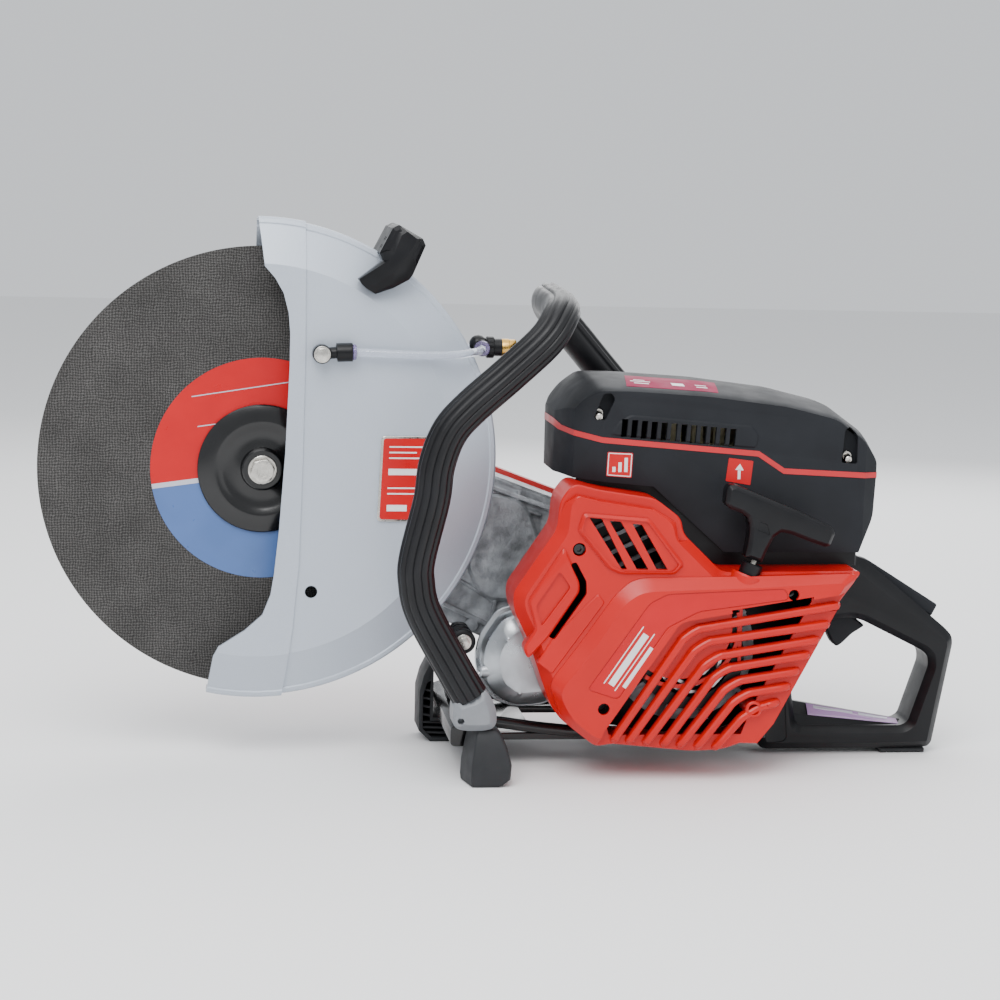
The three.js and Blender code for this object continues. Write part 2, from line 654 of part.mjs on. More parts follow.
// The drum is dished on its near side, and the recoil spring lies in the dish.
function ropeDrum() {
  const profile = [[6.4, -103], [9.2, -103], [9.2, -97], [32, -97], [32, -103], [42, -103], [42, -100.5],
    [36, -99.5], [36, -93.5], [42, -92.5], [42, -90.2], [6.4, -90.2]];
  return turned([...profile, profile[0]], ORIGIN, 28);
}

function starterGrip() {
  const outline = [[158.4, 234.3], [246.6, 198.7], [240.4, 187.4], [224.7, 192], [207.8, 197.9],
    [196.5, 195.8], [186.6, 174.4], [174.2, 179], [177.3, 205.7], [172.5, 212.1], [157.5, 219.2]];
  const grip = slab(outline, ROPE_Y - 9, ROPE_Y + 9, 3);
  return grip.subtract(bar(onPull(5), onPull(22), 3, 12));
}

function starterRope() {
  const drumSide = [CRANK.x + 39, ROPE_Y, CRANK.z + 6];
  return bentTube([drumSide, [174, ROPE_Y, 140], onPull(-6), onPull(18)], 2, 12, 8);
}

place('starter_cover', starterCover(), finish.redPlastic);
place('rope_guide', ropeGuide(), finish.blackPlastic);
place('recoil_spring', recoilSpring(), finish.steel);
const drum = groupAt(CRANK);
place('rope_drum', ropeDrum(), finish.blackPlastic, drum);
place('starter_grip', starterGrip(), finish.blackPlastic);
place('starter_rope', starterRope(), finish.rope);

// ---------------------------------------------------------------- chassis, handles and feet
function basePlate() {
  const plate = block([-20, -48, 21], [211, 72, 27]);
  const crossMember = block([-52, -84, 25], [-16, 72, 44]);
  const tie = block([-30, -48, 21], [-10, 72, 30]);
  return union(plate, crossMember, tie);
}

function frontHandle() {
  const near = HANDLE_NEAR_Y;
  const far = HANDLE_FAR_Y;
  const nearLeg = [[-40, 69.3], [-52.2, 89.9], [-77.3, 134.8], [-83.6, 160], [-83, 180], [-73, 223.5],
    [-69.7, 250.5], [-61, 275], [-45.4, 293.8], [-15.2, 321], [12, 347]];
  const bridge = [[20, near + 12, 362], [24, near + 40, 367], [30, 0, 369], [38, far - 40, 368],
    [46, far - 12, 360]];
  const farLeg = [[60, far, 346], [86, far, 315.9], [127.4, far, 268], [148, far - 6, 242],
    [152, far - 10, 222]];
  const path = [...nearLeg.map(([x, z]) => [x, near, z]), ...bridge, ...farLeg];
  return bentTube(path, TUBE_RADIUS, 48, 10);
}

function handleClampNear() {
  const outline = [[-53, 62.9], [-52, 48], [-46, 44.3], [-22, 44.3], [-18, 49.2], [-20.5, 58.4],
    [-28.8, 74.7], [-44.5, 66]];
  const socketRadius = TUBE_RADIUS + 2 * GAP;
  const socket = bar([-33.9, HANDLE_NEAR_Y, 59], [-58, HANDLE_NEAR_Y, 99.8], socketRadius, 14);
  return slab(outline, -118, -85, 2).subtract(socket);
}

function handleClampFar() {
  const plate = block([138, 31, 176.5], [158, 112, 182]);
  const cup = block([136, 76, 176.5], [170, 112, 217.5]);
  return union(plate, cup);
}

function frontFootNear() {
  const outline = [[-43, 43.9], [-45, 3], [-42, 0], [-17, 0], [-6.8, 5.4], [-6.7, 16.2], [-11.1, 34.4],
    [-17, 43.9]];
  return slab(outline, -118, -85, 3);
}

function frontFootFar() {
  const outline = [[-52.4, 67], [-55.5, 66.8], [-60.8, 56], [-64.3, 42], [-64.3, 9.4], [-54.7, 0],
    [-24, 0], [-18, 10], [-18, 20.6], [-52.4, 20.6]];
  return slab(outline, 35, 72, 1);
}

function rearHandle() {
  const outside = [[212, 4], [321, 4], [360.3, 5.1], [375.8, 95.5], [370.2, 104.5], [296, 165],
    [214, 170]];
  const gap = [[244, 22.5], [336.5, 22.4], [341, 26], [355.8, 75.4], [354.5, 82.6], [295.3, 113.9],
    [262, 112], [242, 96], [238, 58]];
  const frame = slab(outside, -22, 22, 3).subtract(slab(gap, -30, 30));
  const triggerPocket = slab([[262, 100], [312, 92], [312, 124], [262, 128]], -7, 7);
  const lockPocket = slab([[292, 175], [370, 118], [356, 104], [284, 156]], -9, 9);
  return frame.subtract(union(triggerPocket, lockPocket));
}

function rearFootPad() {
  return slab([[318, 0], [356, 0], [356, 3.7], [318, 3.7]], -16, 16);
}

// The trigger hangs from its pivot in the grip; squeezing lifts its tip.
function throttleTrigger() {
  const outline = [[270, 118], [268, 106], [278, 88], [292, 93], [303, 106], [286, 119]];
  return slab(outline, -6.2, 6.2, 1);
}

function throttleLock() {
  const outline = [[296, 163.5], [303, 161.5], [364, 124], [359, 114], [350, 119], [300, 152],
    [293, 157]];
  return slab(outline, -8.2, 8.2, 1);
}

const FUEL_CAP = { x: 229, z: 92 };

function fuelTank() {
  const outline = [[210, 32], [242, 32], [248, 40], [248, 120], [240, 128], [210, 128]];
  const inside = [[213, 35], [241, 35], [245, 41], [245, 119], [239, 125], [213, 125]];
  const body = slab(outline, 24, 84, 4).subtract(slab(inside, 27, 81, 3));
  return body.subtract(rod(12, 70, 90, FUEL_CAP));
}

function fuelCap() {
  const cap = rod(17, 84.4, 94, FUEL_CAP);
  const plug = rod(11.4, 76, 85, FUEL_CAP, 16);
  const wing = block([214, 93, 89], [244, 98, 95]);
  return union(cap, plug, wing);
}

// Rubber mount between the engine and the handle frame.
function avBuffer() {
  return bar([184.4, 0, 56], [211.6, 0, 56], 11, 20);
}

function bottomBracket() {
  const outline = [[168, 27.4], [203, 27.4], [203, 34], [182, 44], [168, 44]];
  return slab(outline, -50, -26, 1);
}

function stopSwitch() {
  return slab([[280, 138], [296, 134], [296, 142], [280, 148]], 22.5, 28, 1);
}

function chokeLever() {
  const hub = rod(7, 22.6, 27, { x: 240, z: 158 }, 20);
  return hub.add(slab([[236, 153], [262, 146], [265, 153], [242, 164]], 23, 28));
}

place('base_plate', basePlate(), finish.blackPlastic);
place('front_handle', frontHandle(), finish.rubber);
place('handle_clamp_near', handleClampNear(), finish.greyPlastic);
place('handle_clamp_far', handleClampFar(), finish.greyPlastic);
place('front_foot_near', frontFootNear(), finish.footRubber);
place('front_foot_far', frontFootFar(), finish.footRubber);
place('rear_handle', rearHandle(), finish.blackPlastic);
place('rear_foot_pad', rearFootPad(), finish.footRubber);
place('throttle_trigger', throttleTrigger(), finish.charcoalPlastic);
place('throttle_lock', throttleLock(), finish.charcoalPlastic);
place('fuel_tank', fuelTank(), finish.tank);
place('fuel_cap', fuelCap(), finish.blackPlastic);
place('av_buffer', avBuffer(), finish.rubber);
place('bottom_bracket', bottomBracket(), finish.castMagnesium);
place('stop_switch', stopSwitch(), finish.redPlastic);
place('choke_lever', chokeLever(), finish.blackPlastic);

export default saw;
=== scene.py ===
"""Rescue saw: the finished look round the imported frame. Tables are in millimetres, in the row frame."""
import json
import math

import bmesh
import bpy
from mathutils import Matrix, Vector


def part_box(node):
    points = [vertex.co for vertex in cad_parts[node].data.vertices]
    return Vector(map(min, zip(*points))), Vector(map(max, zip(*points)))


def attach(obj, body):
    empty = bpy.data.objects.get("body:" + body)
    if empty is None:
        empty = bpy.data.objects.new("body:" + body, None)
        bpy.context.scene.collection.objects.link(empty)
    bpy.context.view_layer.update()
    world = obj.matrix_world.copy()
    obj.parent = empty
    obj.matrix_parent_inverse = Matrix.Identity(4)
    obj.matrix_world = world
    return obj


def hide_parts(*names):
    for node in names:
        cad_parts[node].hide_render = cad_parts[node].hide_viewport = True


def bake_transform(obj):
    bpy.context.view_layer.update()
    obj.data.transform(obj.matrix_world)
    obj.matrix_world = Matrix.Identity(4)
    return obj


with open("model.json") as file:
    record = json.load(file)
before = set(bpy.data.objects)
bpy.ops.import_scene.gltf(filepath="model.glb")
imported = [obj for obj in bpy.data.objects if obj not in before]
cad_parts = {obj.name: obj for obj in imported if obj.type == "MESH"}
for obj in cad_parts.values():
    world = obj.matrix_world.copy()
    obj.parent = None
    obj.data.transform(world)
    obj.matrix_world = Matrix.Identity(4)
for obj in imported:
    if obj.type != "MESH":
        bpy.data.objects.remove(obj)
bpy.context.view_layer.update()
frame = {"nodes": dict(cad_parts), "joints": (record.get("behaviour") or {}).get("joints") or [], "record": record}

MM = 0.001


# ---------------------------------------------------------------- places read from the frame
def node_box(name):
    """Lowest and highest corner of a CAD node, in millimetres."""
    low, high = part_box(name)
    return Vector(low) / MM, Vector(high) / MM


def middle_of(name):
    low, high = node_box(name)
    return (low + high) / 2


def joint_named(name):
    return next(joint for joint in frame["joints"] if joint["name"] == name)


SPINDLE = Vector(joint_named("disc_spin")["pos_m"]) / MM
CRANK = Vector(joint_named("crank_spin")["pos_m"]) / MM
PULL = Vector(joint_named("starter_pull")["axis"])
HUB = (SPINDLE.x, 0, SPINDLE.z)
ALONG_ARM = Vector((CRANK.x - SPINDLE.x, CRANK.z - SPINDLE.z)).normalized()
ACROSS_ARM = Vector((-ALONG_ARM.y, ALONG_ARM.x))


def on_arm(distance, side):
    """Place in X and Z, measured from the spindle along the arm and across it."""
    return Vector((SPINDLE.x, SPINDLE.z)) + ALONG_ARM * distance + ACROSS_ARM * side


# ---------------------------------------------------------------- mesh helpers
def build(name, verts, faces):
    mesh = bpy.data.meshes.new(name)
    mesh.from_pydata([Vector(v) * MM for v in verts], [], faces)
    work = bmesh.new()
    work.from_mesh(mesh)
    bmesh.ops.remove_doubles(work, verts=work.verts, dist=1e-7)
    bmesh.ops.recalc_face_normals(work, faces=work.faces)
    work.to_mesh(mesh)
    work.free()
    obj = bpy.data.objects.new(name, mesh)
    bpy.context.scene.collection.objects.link(obj)
    return obj


def loft(name, loops, closed_path=False):
    """Skin over loops of equally many points, capped at both ends unless the path is closed."""
    count = len(loops[0])
    verts = [point for loop in loops for point in loop]
    faces = []
    spans = len(loops) if closed_path else len(loops) - 1
    for i in range(spans):
        a, b = i * count, ((i + 1) % len(loops)) * count
        for j in range(count):
            k = (j + 1) % count
            faces.append((a + j, a + k, b + k, b + j))
    if not closed_path:
        faces.append(tuple(range(count)))
        faces.append(tuple(range(len(verts) - count, len(verts))))
    return build(name, verts, faces)


def rounded(outline, radius, steps=4):
    """The outline with each corner turned into a curve of the same number of points."""
    points = []
    count = len(outline)
    for i in range(count):
        corner = Vector(outline[i])
        before = Vector(outline[i - 1]) - corner
        after = Vector(outline[(i + 1) % count]) - corner
        reach = min(radius, 0.45 * before.length, 0.45 * after.length)
        start = corner + before.normalized() * reach
        end = corner + after.normalized() * reach
        for k in range(steps + 1):
            t = k / steps
            points.append(start * (1 - t) ** 2 + corner * 2 * t * (1 - t) + end * t ** 2)
    return [tuple(point) for point in points]


def inset(outline, distance):
    """The outline moved inwards by a distance, corner by corner."""
    area = sum(a[0] * b[1] - b[0] * a[1] for a, b in zip(outline, outline[1:] + outline[:1]))
    side = 1 if area > 0 else -1
    moved = []
    for i, corner in enumerate(outline):
        corner = Vector(corner)
        u = (corner - Vector(outline[i - 1])).normalized()
        v = (Vector(outline[(i + 1) % len(outline)]) - corner).normalized()
        normal = Vector((-u.y - v.y, u.x + v.x))
        length = normal.length
        if length < 1e-6:
            normal, length = Vector((-u.y, u.x)), 1
        scale = min(2.0, 2 / max(length, 1e-6))
        moved.append(tuple(corner + normal / length * side * distance * scale))
    return moved


def at_depth(outline, y):
    return [(x, y, z) for x, z in outline]


def prism(name, outline, near, far, corner=0.0, edge=0.0, both=True):
    """Outline in X and Z drawn out along Y. corner rounds the outline, edge chamfers the rims."""
    def ring(distance, y):
        shape = inset(outline, distance) if distance else outline
        return at_depth(rounded(shape, corner) if corner else shape, y)
    if not edge:
        return loft(name, [ring(0, near), ring(0, far)])
    loops = [ring(edge, near), ring(0, near + edge)]
    loops += [ring(0, far - edge), ring(edge, far)] if both else [ring(0, far)]
    return loft(name, loops)


def turned(name, profile, centre=None, axis=(0, 1, 0), segments=96, closed=True):
    """Turned piece: the profile is [radius, distance along the axis]."""
    centre = Vector(centre or (0, 0, 0))
    turn = Vector((0, 1, 0)).rotation_difference(Vector(axis)).to_matrix()
    loops = []
    for i in range(segments):
        angle = 2 * math.pi * i / segments
        c, s = math.cos(angle), math.sin(angle)
        loops.append([centre + turn @ Vector((r * c, y, r * s)) for r, y in profile])
    count = len(profile)
    verts = [point for loop in loops for point in loop]
    faces = []
    for i in range(segments):
        a, b = i * count, ((i + 1) % segments) * count
        for j in range(count if closed else count - 1):
            k = (j + 1) % count
            corners = [a + j, a + k, b + k, b + j]
            if profile[j][0] == 0:
                corners.remove(b + j)
            if profile[k][0] == 0:
                corners.remove(b + k)
            if len(corners) > 2:
                faces.append(tuple(corners))
    return build(name, verts, faces)


def bar(name, start, end, radius, segments=32, edge=0.6):
    """Round bar between two points with chamfered ends."""
    start, end = Vector(start), Vector(end)
    length = (end - start).length
    edge = min(edge, radius * 0.4, length * 0.3)
    profile = [(0, 0), (radius - edge, 0), (radius, edge), (radius, length - edge), (radius - edge, length),
        (0, length)]
    return turned(name, profile, start, (end - start).normalized(), segments, closed=False)


def pin(name, x, z, near, far, *shape, **options):
    """Round bar along Y at a place in X and Z."""
    return bar(name, (x, near, z), (x, far, z), *shape, **options)


def smooth_path(points, per_span=8):
    """Points along a Catmull-Rom curve through the given points."""
    points = [Vector(p) for p in points]
    ends = [points[0] * 2 - points[1]] + points + [points[-1] * 2 - points[-2]]
    path = []
    for i in range(1, len(ends) - 2):
        p0, p1, p2, p3 = ends[i - 1:i + 3]
        for k in range(per_span):
            t = k / per_span
            path.append(0.5 * (2 * p1 + (p2 - p0) * t + (2 * p0 - 5 * p1 + 4 * p2 - p3) * t ** 2
                + (3 * p1 - p0 - 3 * p2 + p3) * t ** 3))
    path.append(points[-1])
    return path


def sweep(name, points, section, per_span=8, up=(0, 1, 0)):
    """Section (list of u, v, or a function of 0..1) carried along a smooth path without twisting."""
    path = smooth_path(points, per_span) if per_span else [Vector(p) for p in points]
    across = Vector(up)
    loops = []
    for i, point in enumerate(path):
        ahead = (path[min(i + 1, len(path) - 1)] - path[max(i - 1, 0)]).normalized()
        across = (across - ahead * across.dot(ahead)).normalized()
        side = ahead.cross(across)
        shape = section(i / (len(path) - 1)) if callable(section) else section
        loops.append([point + across * u + side * v for u, v in shape])
    return loft(name, loops)


def circle(radius, sides=24):
    return [(radius * math.cos(2 * math.pi * i / sides), radius * math.sin(2 * math.pi * i / sides))
        for i in range(sides)]


def ribbon(points, width):
    """Outline of a band of constant width that follows the points."""
    upper, lower = [], []
    for i, point in enumerate(points):
        ahead = Vector(points[min(i + 1, len(points) - 1)]) - Vector(points[max(i - 1, 0)])
        across = Vector((-ahead.y, ahead.x)).normalized() * width / 2
        upper.append(tuple(Vector(point) + across))
        lower.append(tuple(Vector(point) - across))
    return upper + list(reversed(lower))


def box_outline(x, z, width, height):
    """Upright box round x, standing on z."""
    half = width / 2
    return [(x - half, z), (x + half, z), (x + half, z + height), (x - half, z + height)]


def hexagon(centre, radius, turn=0):
    """Hexagon in X and Z round a centre, with its first corner at an angle in degrees."""
    return [(centre[0] + radius * math.cos(math.radians(60 * i + turn)),
        centre[1] + radius * math.sin(math.radians(60 * i + turn))) for i in range(6)]


def bake(obj):
    """Applies the modifiers."""
    graph = bpy.context.evaluated_depsgraph_get()
    mesh = bpy.data.meshes.new_from_object(obj.evaluated_get(graph))
    obj.modifiers.clear()
    old, obj.data = obj.data, mesh
    bpy.data.meshes.remove(old)
    return obj


def combine(obj, others, operation):
    for other in others:
        tool = obj.modifiers.new("combine", "BOOLEAN")
        tool.operation = operation
        tool.solver = "EXACT"
        tool.object = other
        bake(obj)
        bpy.data.objects.remove(other)
    return obj


def cut(obj, *others):
    return combine(obj, others, "DIFFERENCE")


def add(obj, *others):
    return combine(obj, others, "UNION")


def common(obj, *others):
    return combine(obj, others, "INTERSECT")


def soften(obj, width, segments=3, angle=28):
    """Bevels the edges sharper than an angle in degrees."""
    """Rounds every edge sharper than the angle."""
    tool = obj.modifiers.new("soften", "BEVEL")
    tool.width = width * MM
    tool.segments = segments
    tool.limit_method = "ANGLE"
    tool.angle_limit = math.radians(angle)
    tool.use_clamp_overlap = True
    tool.harden_normals = False
    return bake(obj)


def piece(obj, body, look, stands_for=(), angle=32):
    """Hands a finished mesh to its body, with its material, and hides the CAD nodes that it stands for.
    A body that is not a single name leaves the piece unparented, with its placement baked into the mesh."""
    material, slot = SLOTS[look]
    obj.data.materials.clear()
    obj.data.materials.append(material)
    obj.data.shade_smooth()
    obj.data.set_sharp_from_angle(angle=math.radians(angle))
    if isinstance(body, str):
        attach(obj, body)
    else:
        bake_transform(obj)
    if stands_for:
        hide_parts(*stands_for)
    return obj


# ---------------------------------------------------------------- materials
def new_material(name, color, roughness, metallic=0.0, **extra):
    material = bpy.data.materials.new(name)
    material.use_nodes = True
    shader = material.node_tree.nodes["Principled BSDF"]
    shader.inputs["Base Color"].default_value = (*color, 1)
    shader.inputs["Roughness"].default_value = roughness
    shader.inputs["Metallic"].default_value = metallic
    for socket, value in extra.items():
        shader.inputs[socket.replace("_", " ")].default_value = value
    return material, shader


def node(material, kind, **values):
    made = material.node_tree.nodes.new(kind)
    for key, value in values.items():
        if key in made.inputs:
            made.inputs[key].default_value = value
        else:
            setattr(made, key, value)
    return made


def link(material, source, target):
    material.node_tree.links.new(source, target)


def noise(material, scale, detail=4.0, stretch=None):
    place = node(material, "ShaderNodeTexCoord")
    source = place.outputs["Object"]
    if stretch:
        mapping = node(material, "ShaderNodeMapping")
        mapping.inputs["Scale"].default_value = stretch
        link(material, source, mapping.inputs["Vector"])
        source = mapping.outputs["Vector"]
    made = node(material, "ShaderNodeTexNoise", Scale=scale, Detail=detail)
    link(material, source, made.inputs["Vector"])
    return made.outputs["Fac"]


def ramp(material, source, stops):
    made = node(material, "ShaderNodeValToRGB")
    elements = made.color_ramp.elements
    while len(elements) < len(stops):
        elements.new(0.5)
    for element, (position, color) in zip(elements, stops):
        element.position = position
        element.color = (*color, 1) if len(color) == 3 else color
    link(material, source, made.inputs["Fac"])
    return made.outputs["Color"]


def bump(material, shader, source, strength, distance, below=None):
    made = node(material, "ShaderNodeBump", Strength=strength, Distance=distance)
    link(material, source, made.inputs["Height"])
    if below:
        link(material, below, made.inputs["Normal"])
    link(material, made.outputs["Normal"], shader.inputs["Normal"])
    return made.outputs["Normal"]


def shades(color, spread):
    return [tuple(max(0, min(1, c * (1 + k * spread))) for c in color) for k in (-1, 1)]


def grained(name, color, roughness, metallic=0.0, mottle=0.08, mottle_scale=30, grain=900, grain_depth=0.05,
        rough_spread=0.08, stretch=None, **extra):
    """A surface with slow colour variation, uneven gloss and a fine grain."""
    material, shader = new_material(name, color, roughness, metallic, **extra)
    slow = noise(material, mottle_scale, 5.0, stretch)
    dark, light = shades(color, mottle)
    link(material, ramp(material, slow, [(0.35, dark), (0.65, light)]), shader.inputs["Base Color"])
    low, high = max(0.02, roughness - rough_spread), min(1, roughness + rough_spread)
    wear = noise(material, mottle_scale * 2.3, 6.0, stretch)
    link(material, ramp(material, wear, [(0.3, (low,) * 3), (0.7, (high,) * 3)]),
        shader.inputs["Roughness"])
    if grain_depth:
        bump(material, shader, noise(material, grain, 3.0, stretch), 0.6, grain_depth * MM)
    return material


def separate(material):
    place = node(material, "ShaderNodeTexCoord")
    made = node(material, "ShaderNodeSeparateXYZ")
    link(material, place.outputs["Object"], made.inputs["Vector"])
    return made


def math_node(material, operation, a, b=None, clamp=False):
    made = node(material, "ShaderNodeMath", operation=operation, use_clamp=clamp)
    for socket, value in zip(made.inputs, (a, b)):
        if value is None:
            continue
        if isinstance(value, (int, float)):
            socket.default_value = value
        else:
            link(material, value, socket)
    return made.outputs["Value"]


def abrasive():
    """Grit bonded over an uneven glass weave: dark threads about 2.2 mm apart, low in contrast."""
    material, shader = new_material("abrasive", (0.06, 0.056, 0.053), 0.88, Specular_IOR_Level=0.25)
    axes = separate(material)
    wander = math_node(material, "MULTIPLY", math_node(material, "SUBTRACT", noise(material, 95, 3.0), 0.5),
        4.2 * MM)
    pitch = 2 * math.pi / (2.2 * MM)
    threads = []
    for axis in ("X", "Z"):
        place = math_node(material, "ADD", axes.outputs[axis], wander)
        threads.append(math_node(material, "SINE", math_node(material, "MULTIPLY", place, pitch)))
    weave = math_node(material, "MULTIPLY", math_node(material, "ADD", *threads), 0.13)
    grit = math_node(material, "MULTIPLY", noise(material, 1500, 5.0), 1.3)
    height = math_node(material, "ADD", weave, grit)
    tone = ramp(material, height, [(0.35, (0.017, 0.0165, 0.0162)), (0.65, (0.046, 0.044, 0.0425)),
        (0.95, (0.098, 0.095, 0.092))])
    cloud = ramp(material, noise(material, 26, 4.0), [(0.3, (0.8, 0.8, 0.8)), (0.7, (1.1, 1.1, 1.1))])
    made = node(material, "ShaderNodeMix", data_type="RGBA", blend_type="MULTIPLY")
    made.inputs["Factor"].default_value = 1
    link(material, tone, made.inputs[6])
    link(material, cloud, made.inputs[7])
    link(material, made.outputs[2], shader.inputs["Base Color"])
    bump(material, shader, height, 0.7, 0.35 * MM)
    return material


def cast_metal():
    """Sand-cast magnesium: dull, pitted and blotched."""
    return grained("cast_metal", (0.33, 0.345, 0.365), 0.5, 0.6, mottle=0.32, mottle_scale=75, grain=380,
        grain_depth=0.7, rough_spread=0.16)


def hammered():
    """Silver paint over sheet steel: fine metallic speckle with a faint orange peel."""
    material, shader = new_material("hammered", (0.43, 0.475, 0.54), 0.44, 0.3, Coat_Weight=0.1,
        Coat_Roughness=0.35)
    speckle = noise(material, 1600, 2.0)
    slow = noise(material, 14, 3.0)
    fine = ramp(material, speckle, [(0.3, (0.385, 0.43, 0.49)), (0.7, (0.465, 0.51, 0.58))])
    broad = ramp(material, slow, [(0.3, (0.41, 0.455, 0.52)), (0.7, (0.45, 0.495, 0.56))])
    made = node(material, "ShaderNodeMix", data_type="RGBA")
    made.inputs["Factor"].default_value = 0.5
    link(material, fine, made.inputs[6])
    link(material, broad, made.inputs[7])
    link(material, made.outputs[2], shader.inputs["Base Color"])
    link(material, ramp(material, speckle, [(0.3, (0.38,) * 3), (0.7, (0.52,) * 3)]),
        shader.inputs["Roughness"])
    bump(material, shader, noise(material, 500, 2.0), 0.35, 0.06 * MM)
    return material


def clear_plastic(name, color):
    return grained(name, color, 0.12, mottle=0.04, mottle_scale=60, grain_depth=0.0, rough_spread=0.05,
        Transmission_Weight=0.75, IOR=1.45)


PRINT = dict(mottle=0.05, grain_depth=0.01)

SLOTS = {
    "abrasive": (abrasive(), "abrasive"),
    "label_red": (grained("label_print_red", (0.47, 0.004, 0.007), 0.34, Specular_IOR_Level=0.3, **PRINT),
        "label_red"),
    "label_blue": (grained("label_print_blue", (0.06, 0.125, 0.32), 0.35, **PRINT), "label_red"),
    "label_silver": (grained("label_print_silver", (0.5, 0.5, 0.56), 0.35, 0.3, **PRINT), "label_red"),
    "label_white": (grained("label_print_white", (0.72, 0.72, 0.72), 0.4, **PRINT), "label_red"),
    "label_magenta": (grained("label_print_magenta", (0.24, 0.003, 0.045), 0.6, Specular_IOR_Level=0.12,
        **PRINT), "label_red"),
    "label_lilac": (grained("label_print_lilac", (0.36, 0.22, 0.42), 0.35, **PRINT), "label_red"),
    "black_steel": (grained("black_enamel", (0.0035, 0.0036, 0.004), 0.2, mottle=0.3, mottle_scale=18,
        grain=300, grain_depth=0.02, rough_spread=0.06, Specular_IOR_Level=0.4, Coat_Weight=0.2,
        Coat_Roughness=0.12), "black_steel"),
    "zinc": (grained("zinc_plate", (0.55, 0.53, 0.49), 0.28, 1.0, mottle=0.12, mottle_scale=160, grain=700,
        grain_depth=0.03), "zinc_steel"),
    "steel": (grained("machined_steel", (0.4, 0.41, 0.42), 0.3, 1.0, mottle=0.1, mottle_scale=120,
        grain=900, grain_depth=0.02), "machined_steel"),
    "guard": (hammered(), "guard_paint"),
    "cast": (cast_metal(), "cast_magnesium"),
    "stamped": (grained("stamped_sheet", (0.4, 0.42, 0.44), 0.34, 0.92, mottle=0.2, mottle_scale=24,
        grain=600, grain_depth=0.05, rough_spread=0.12), "stamped_steel"),
    "red": (grained("red_shell", (0.46, 0.0036, 0.0022), 0.34, mottle=0.05, mottle_scale=16, grain=1300,
        grain_depth=0.025, rough_spread=0.05, Specular_IOR_Level=0.3, Coat_Weight=0.08,
        Coat_Roughness=0.22), "red_plastic"),
    "charcoal": (grained("charcoal_shell", (0.0125, 0.0137, 0.0165), 0.56, mottle=0.14, mottle_scale=20,
        grain=1500, grain_depth=0.07, rough_spread=0.06, Specular_IOR_Level=0.16), "charcoal_plastic"),
    "black": (grained("black_moulding", (0.0042, 0.0044, 0.0055), 0.34, mottle=0.2, mottle_scale=30,
        grain=1200, grain_depth=0.06, rough_spread=0.07, Specular_IOR_Level=0.24), "black_plastic"),
    "grey": (grained("grey_moulding", (0.18, 0.19, 0.205), 0.46, mottle=0.09, mottle_scale=35, grain=1000,
        grain_depth=0.06), "grey_plastic"),
    "grip": (grained("grip_rubber", (0.005, 0.0052, 0.0064), 0.4, mottle=0.25, mottle_scale=25, grain=1100,
        grain_depth=0.05, rough_spread=0.08, Specular_IOR_Level=0.3), "grip_rubber"),
    "foot": (grained("foot_rubber", (0.017, 0.018, 0.02), 0.58, mottle=0.14, mottle_scale=40, grain=900,
        grain_depth=0.1, Specular_IOR_Level=0.3), "foot_rubber"),
    "hose": (clear_plastic("clear_hose", (0.8, 0.84, 0.92)), "clear_hose"),
    "collet": (clear_plastic("lilac_collet", (0.44, 0.36, 0.66)), "clear_hose"),
    "brass": (grained("turned_brass", (0.6, 0.36, 0.09), 0.25, 1.0, mottle=0.15, mottle_scale=90,
        grain=600, grain_depth=0.03), "brass"),
    "stripe": (grained("stripe_paint", (0.46, 0.010, 0.015), 0.35, mottle=0.05, grain_depth=0.02),
        "label_red"),
    "paper": (grained("filter_felt", (0.5, 0.45, 0.28), 0.9, mottle=0.2, mottle_scale=120, grain=1500,
        grain_depth=0.2), "filter_felt"),
    "rope": (grained("starter_cord", (0.5, 0.5, 0.45), 0.85, mottle=0.25, mottle_scale=500, grain=1400,
        grain_depth=0.3), "rope"),
    "tank": (grained("tank_moulding", (0.5, 0.48, 0.4), 0.45, mottle=0.06, mottle_scale=25, grain=900,
        grain_depth=0.06), "tank_plastic"),
}


def repaint_frame():
    """Every CAD node that still shows gets the material of its slot."""
    by_slot = {slot: material for material, slot in reversed(list(SLOTS.values()))}
    for part in frame["record"]["subparts"]:
        obj = frame["nodes"][part["node"]]
        material = by_slot[part["material_slot"]]
        for entry in obj.material_slots:
            entry.material = material
        if not obj.material_slots:
            obj.data.materials.append(material)


# ---------------------------------------------------------------- camera, floor and light
CAMERA_TURNS = (-8, 8, 1.47)  # azimuth, elevation and roll in degrees, solved on the photo
CAMERA_TARGET = (-5.7, 0, 208.9)
CAMERA_DISTANCE = 2000
CAMERA_LENS = 88.7
FLOOR_REACH = 6000
FLOOR_HEIGHT = -0.2
LAMP_TARGET = (0, 0, 200)
LAMPS = {"key": ((-600, -1500, 1900), 1.5, 60), "fill": ((1500, -1300, 700), 1.6, 8),
         "top": ((100, 200, 1900), 2.4, 28), "rim": ((600, 1500, 1100), 1.6, 18)}  # place, size in m, watts


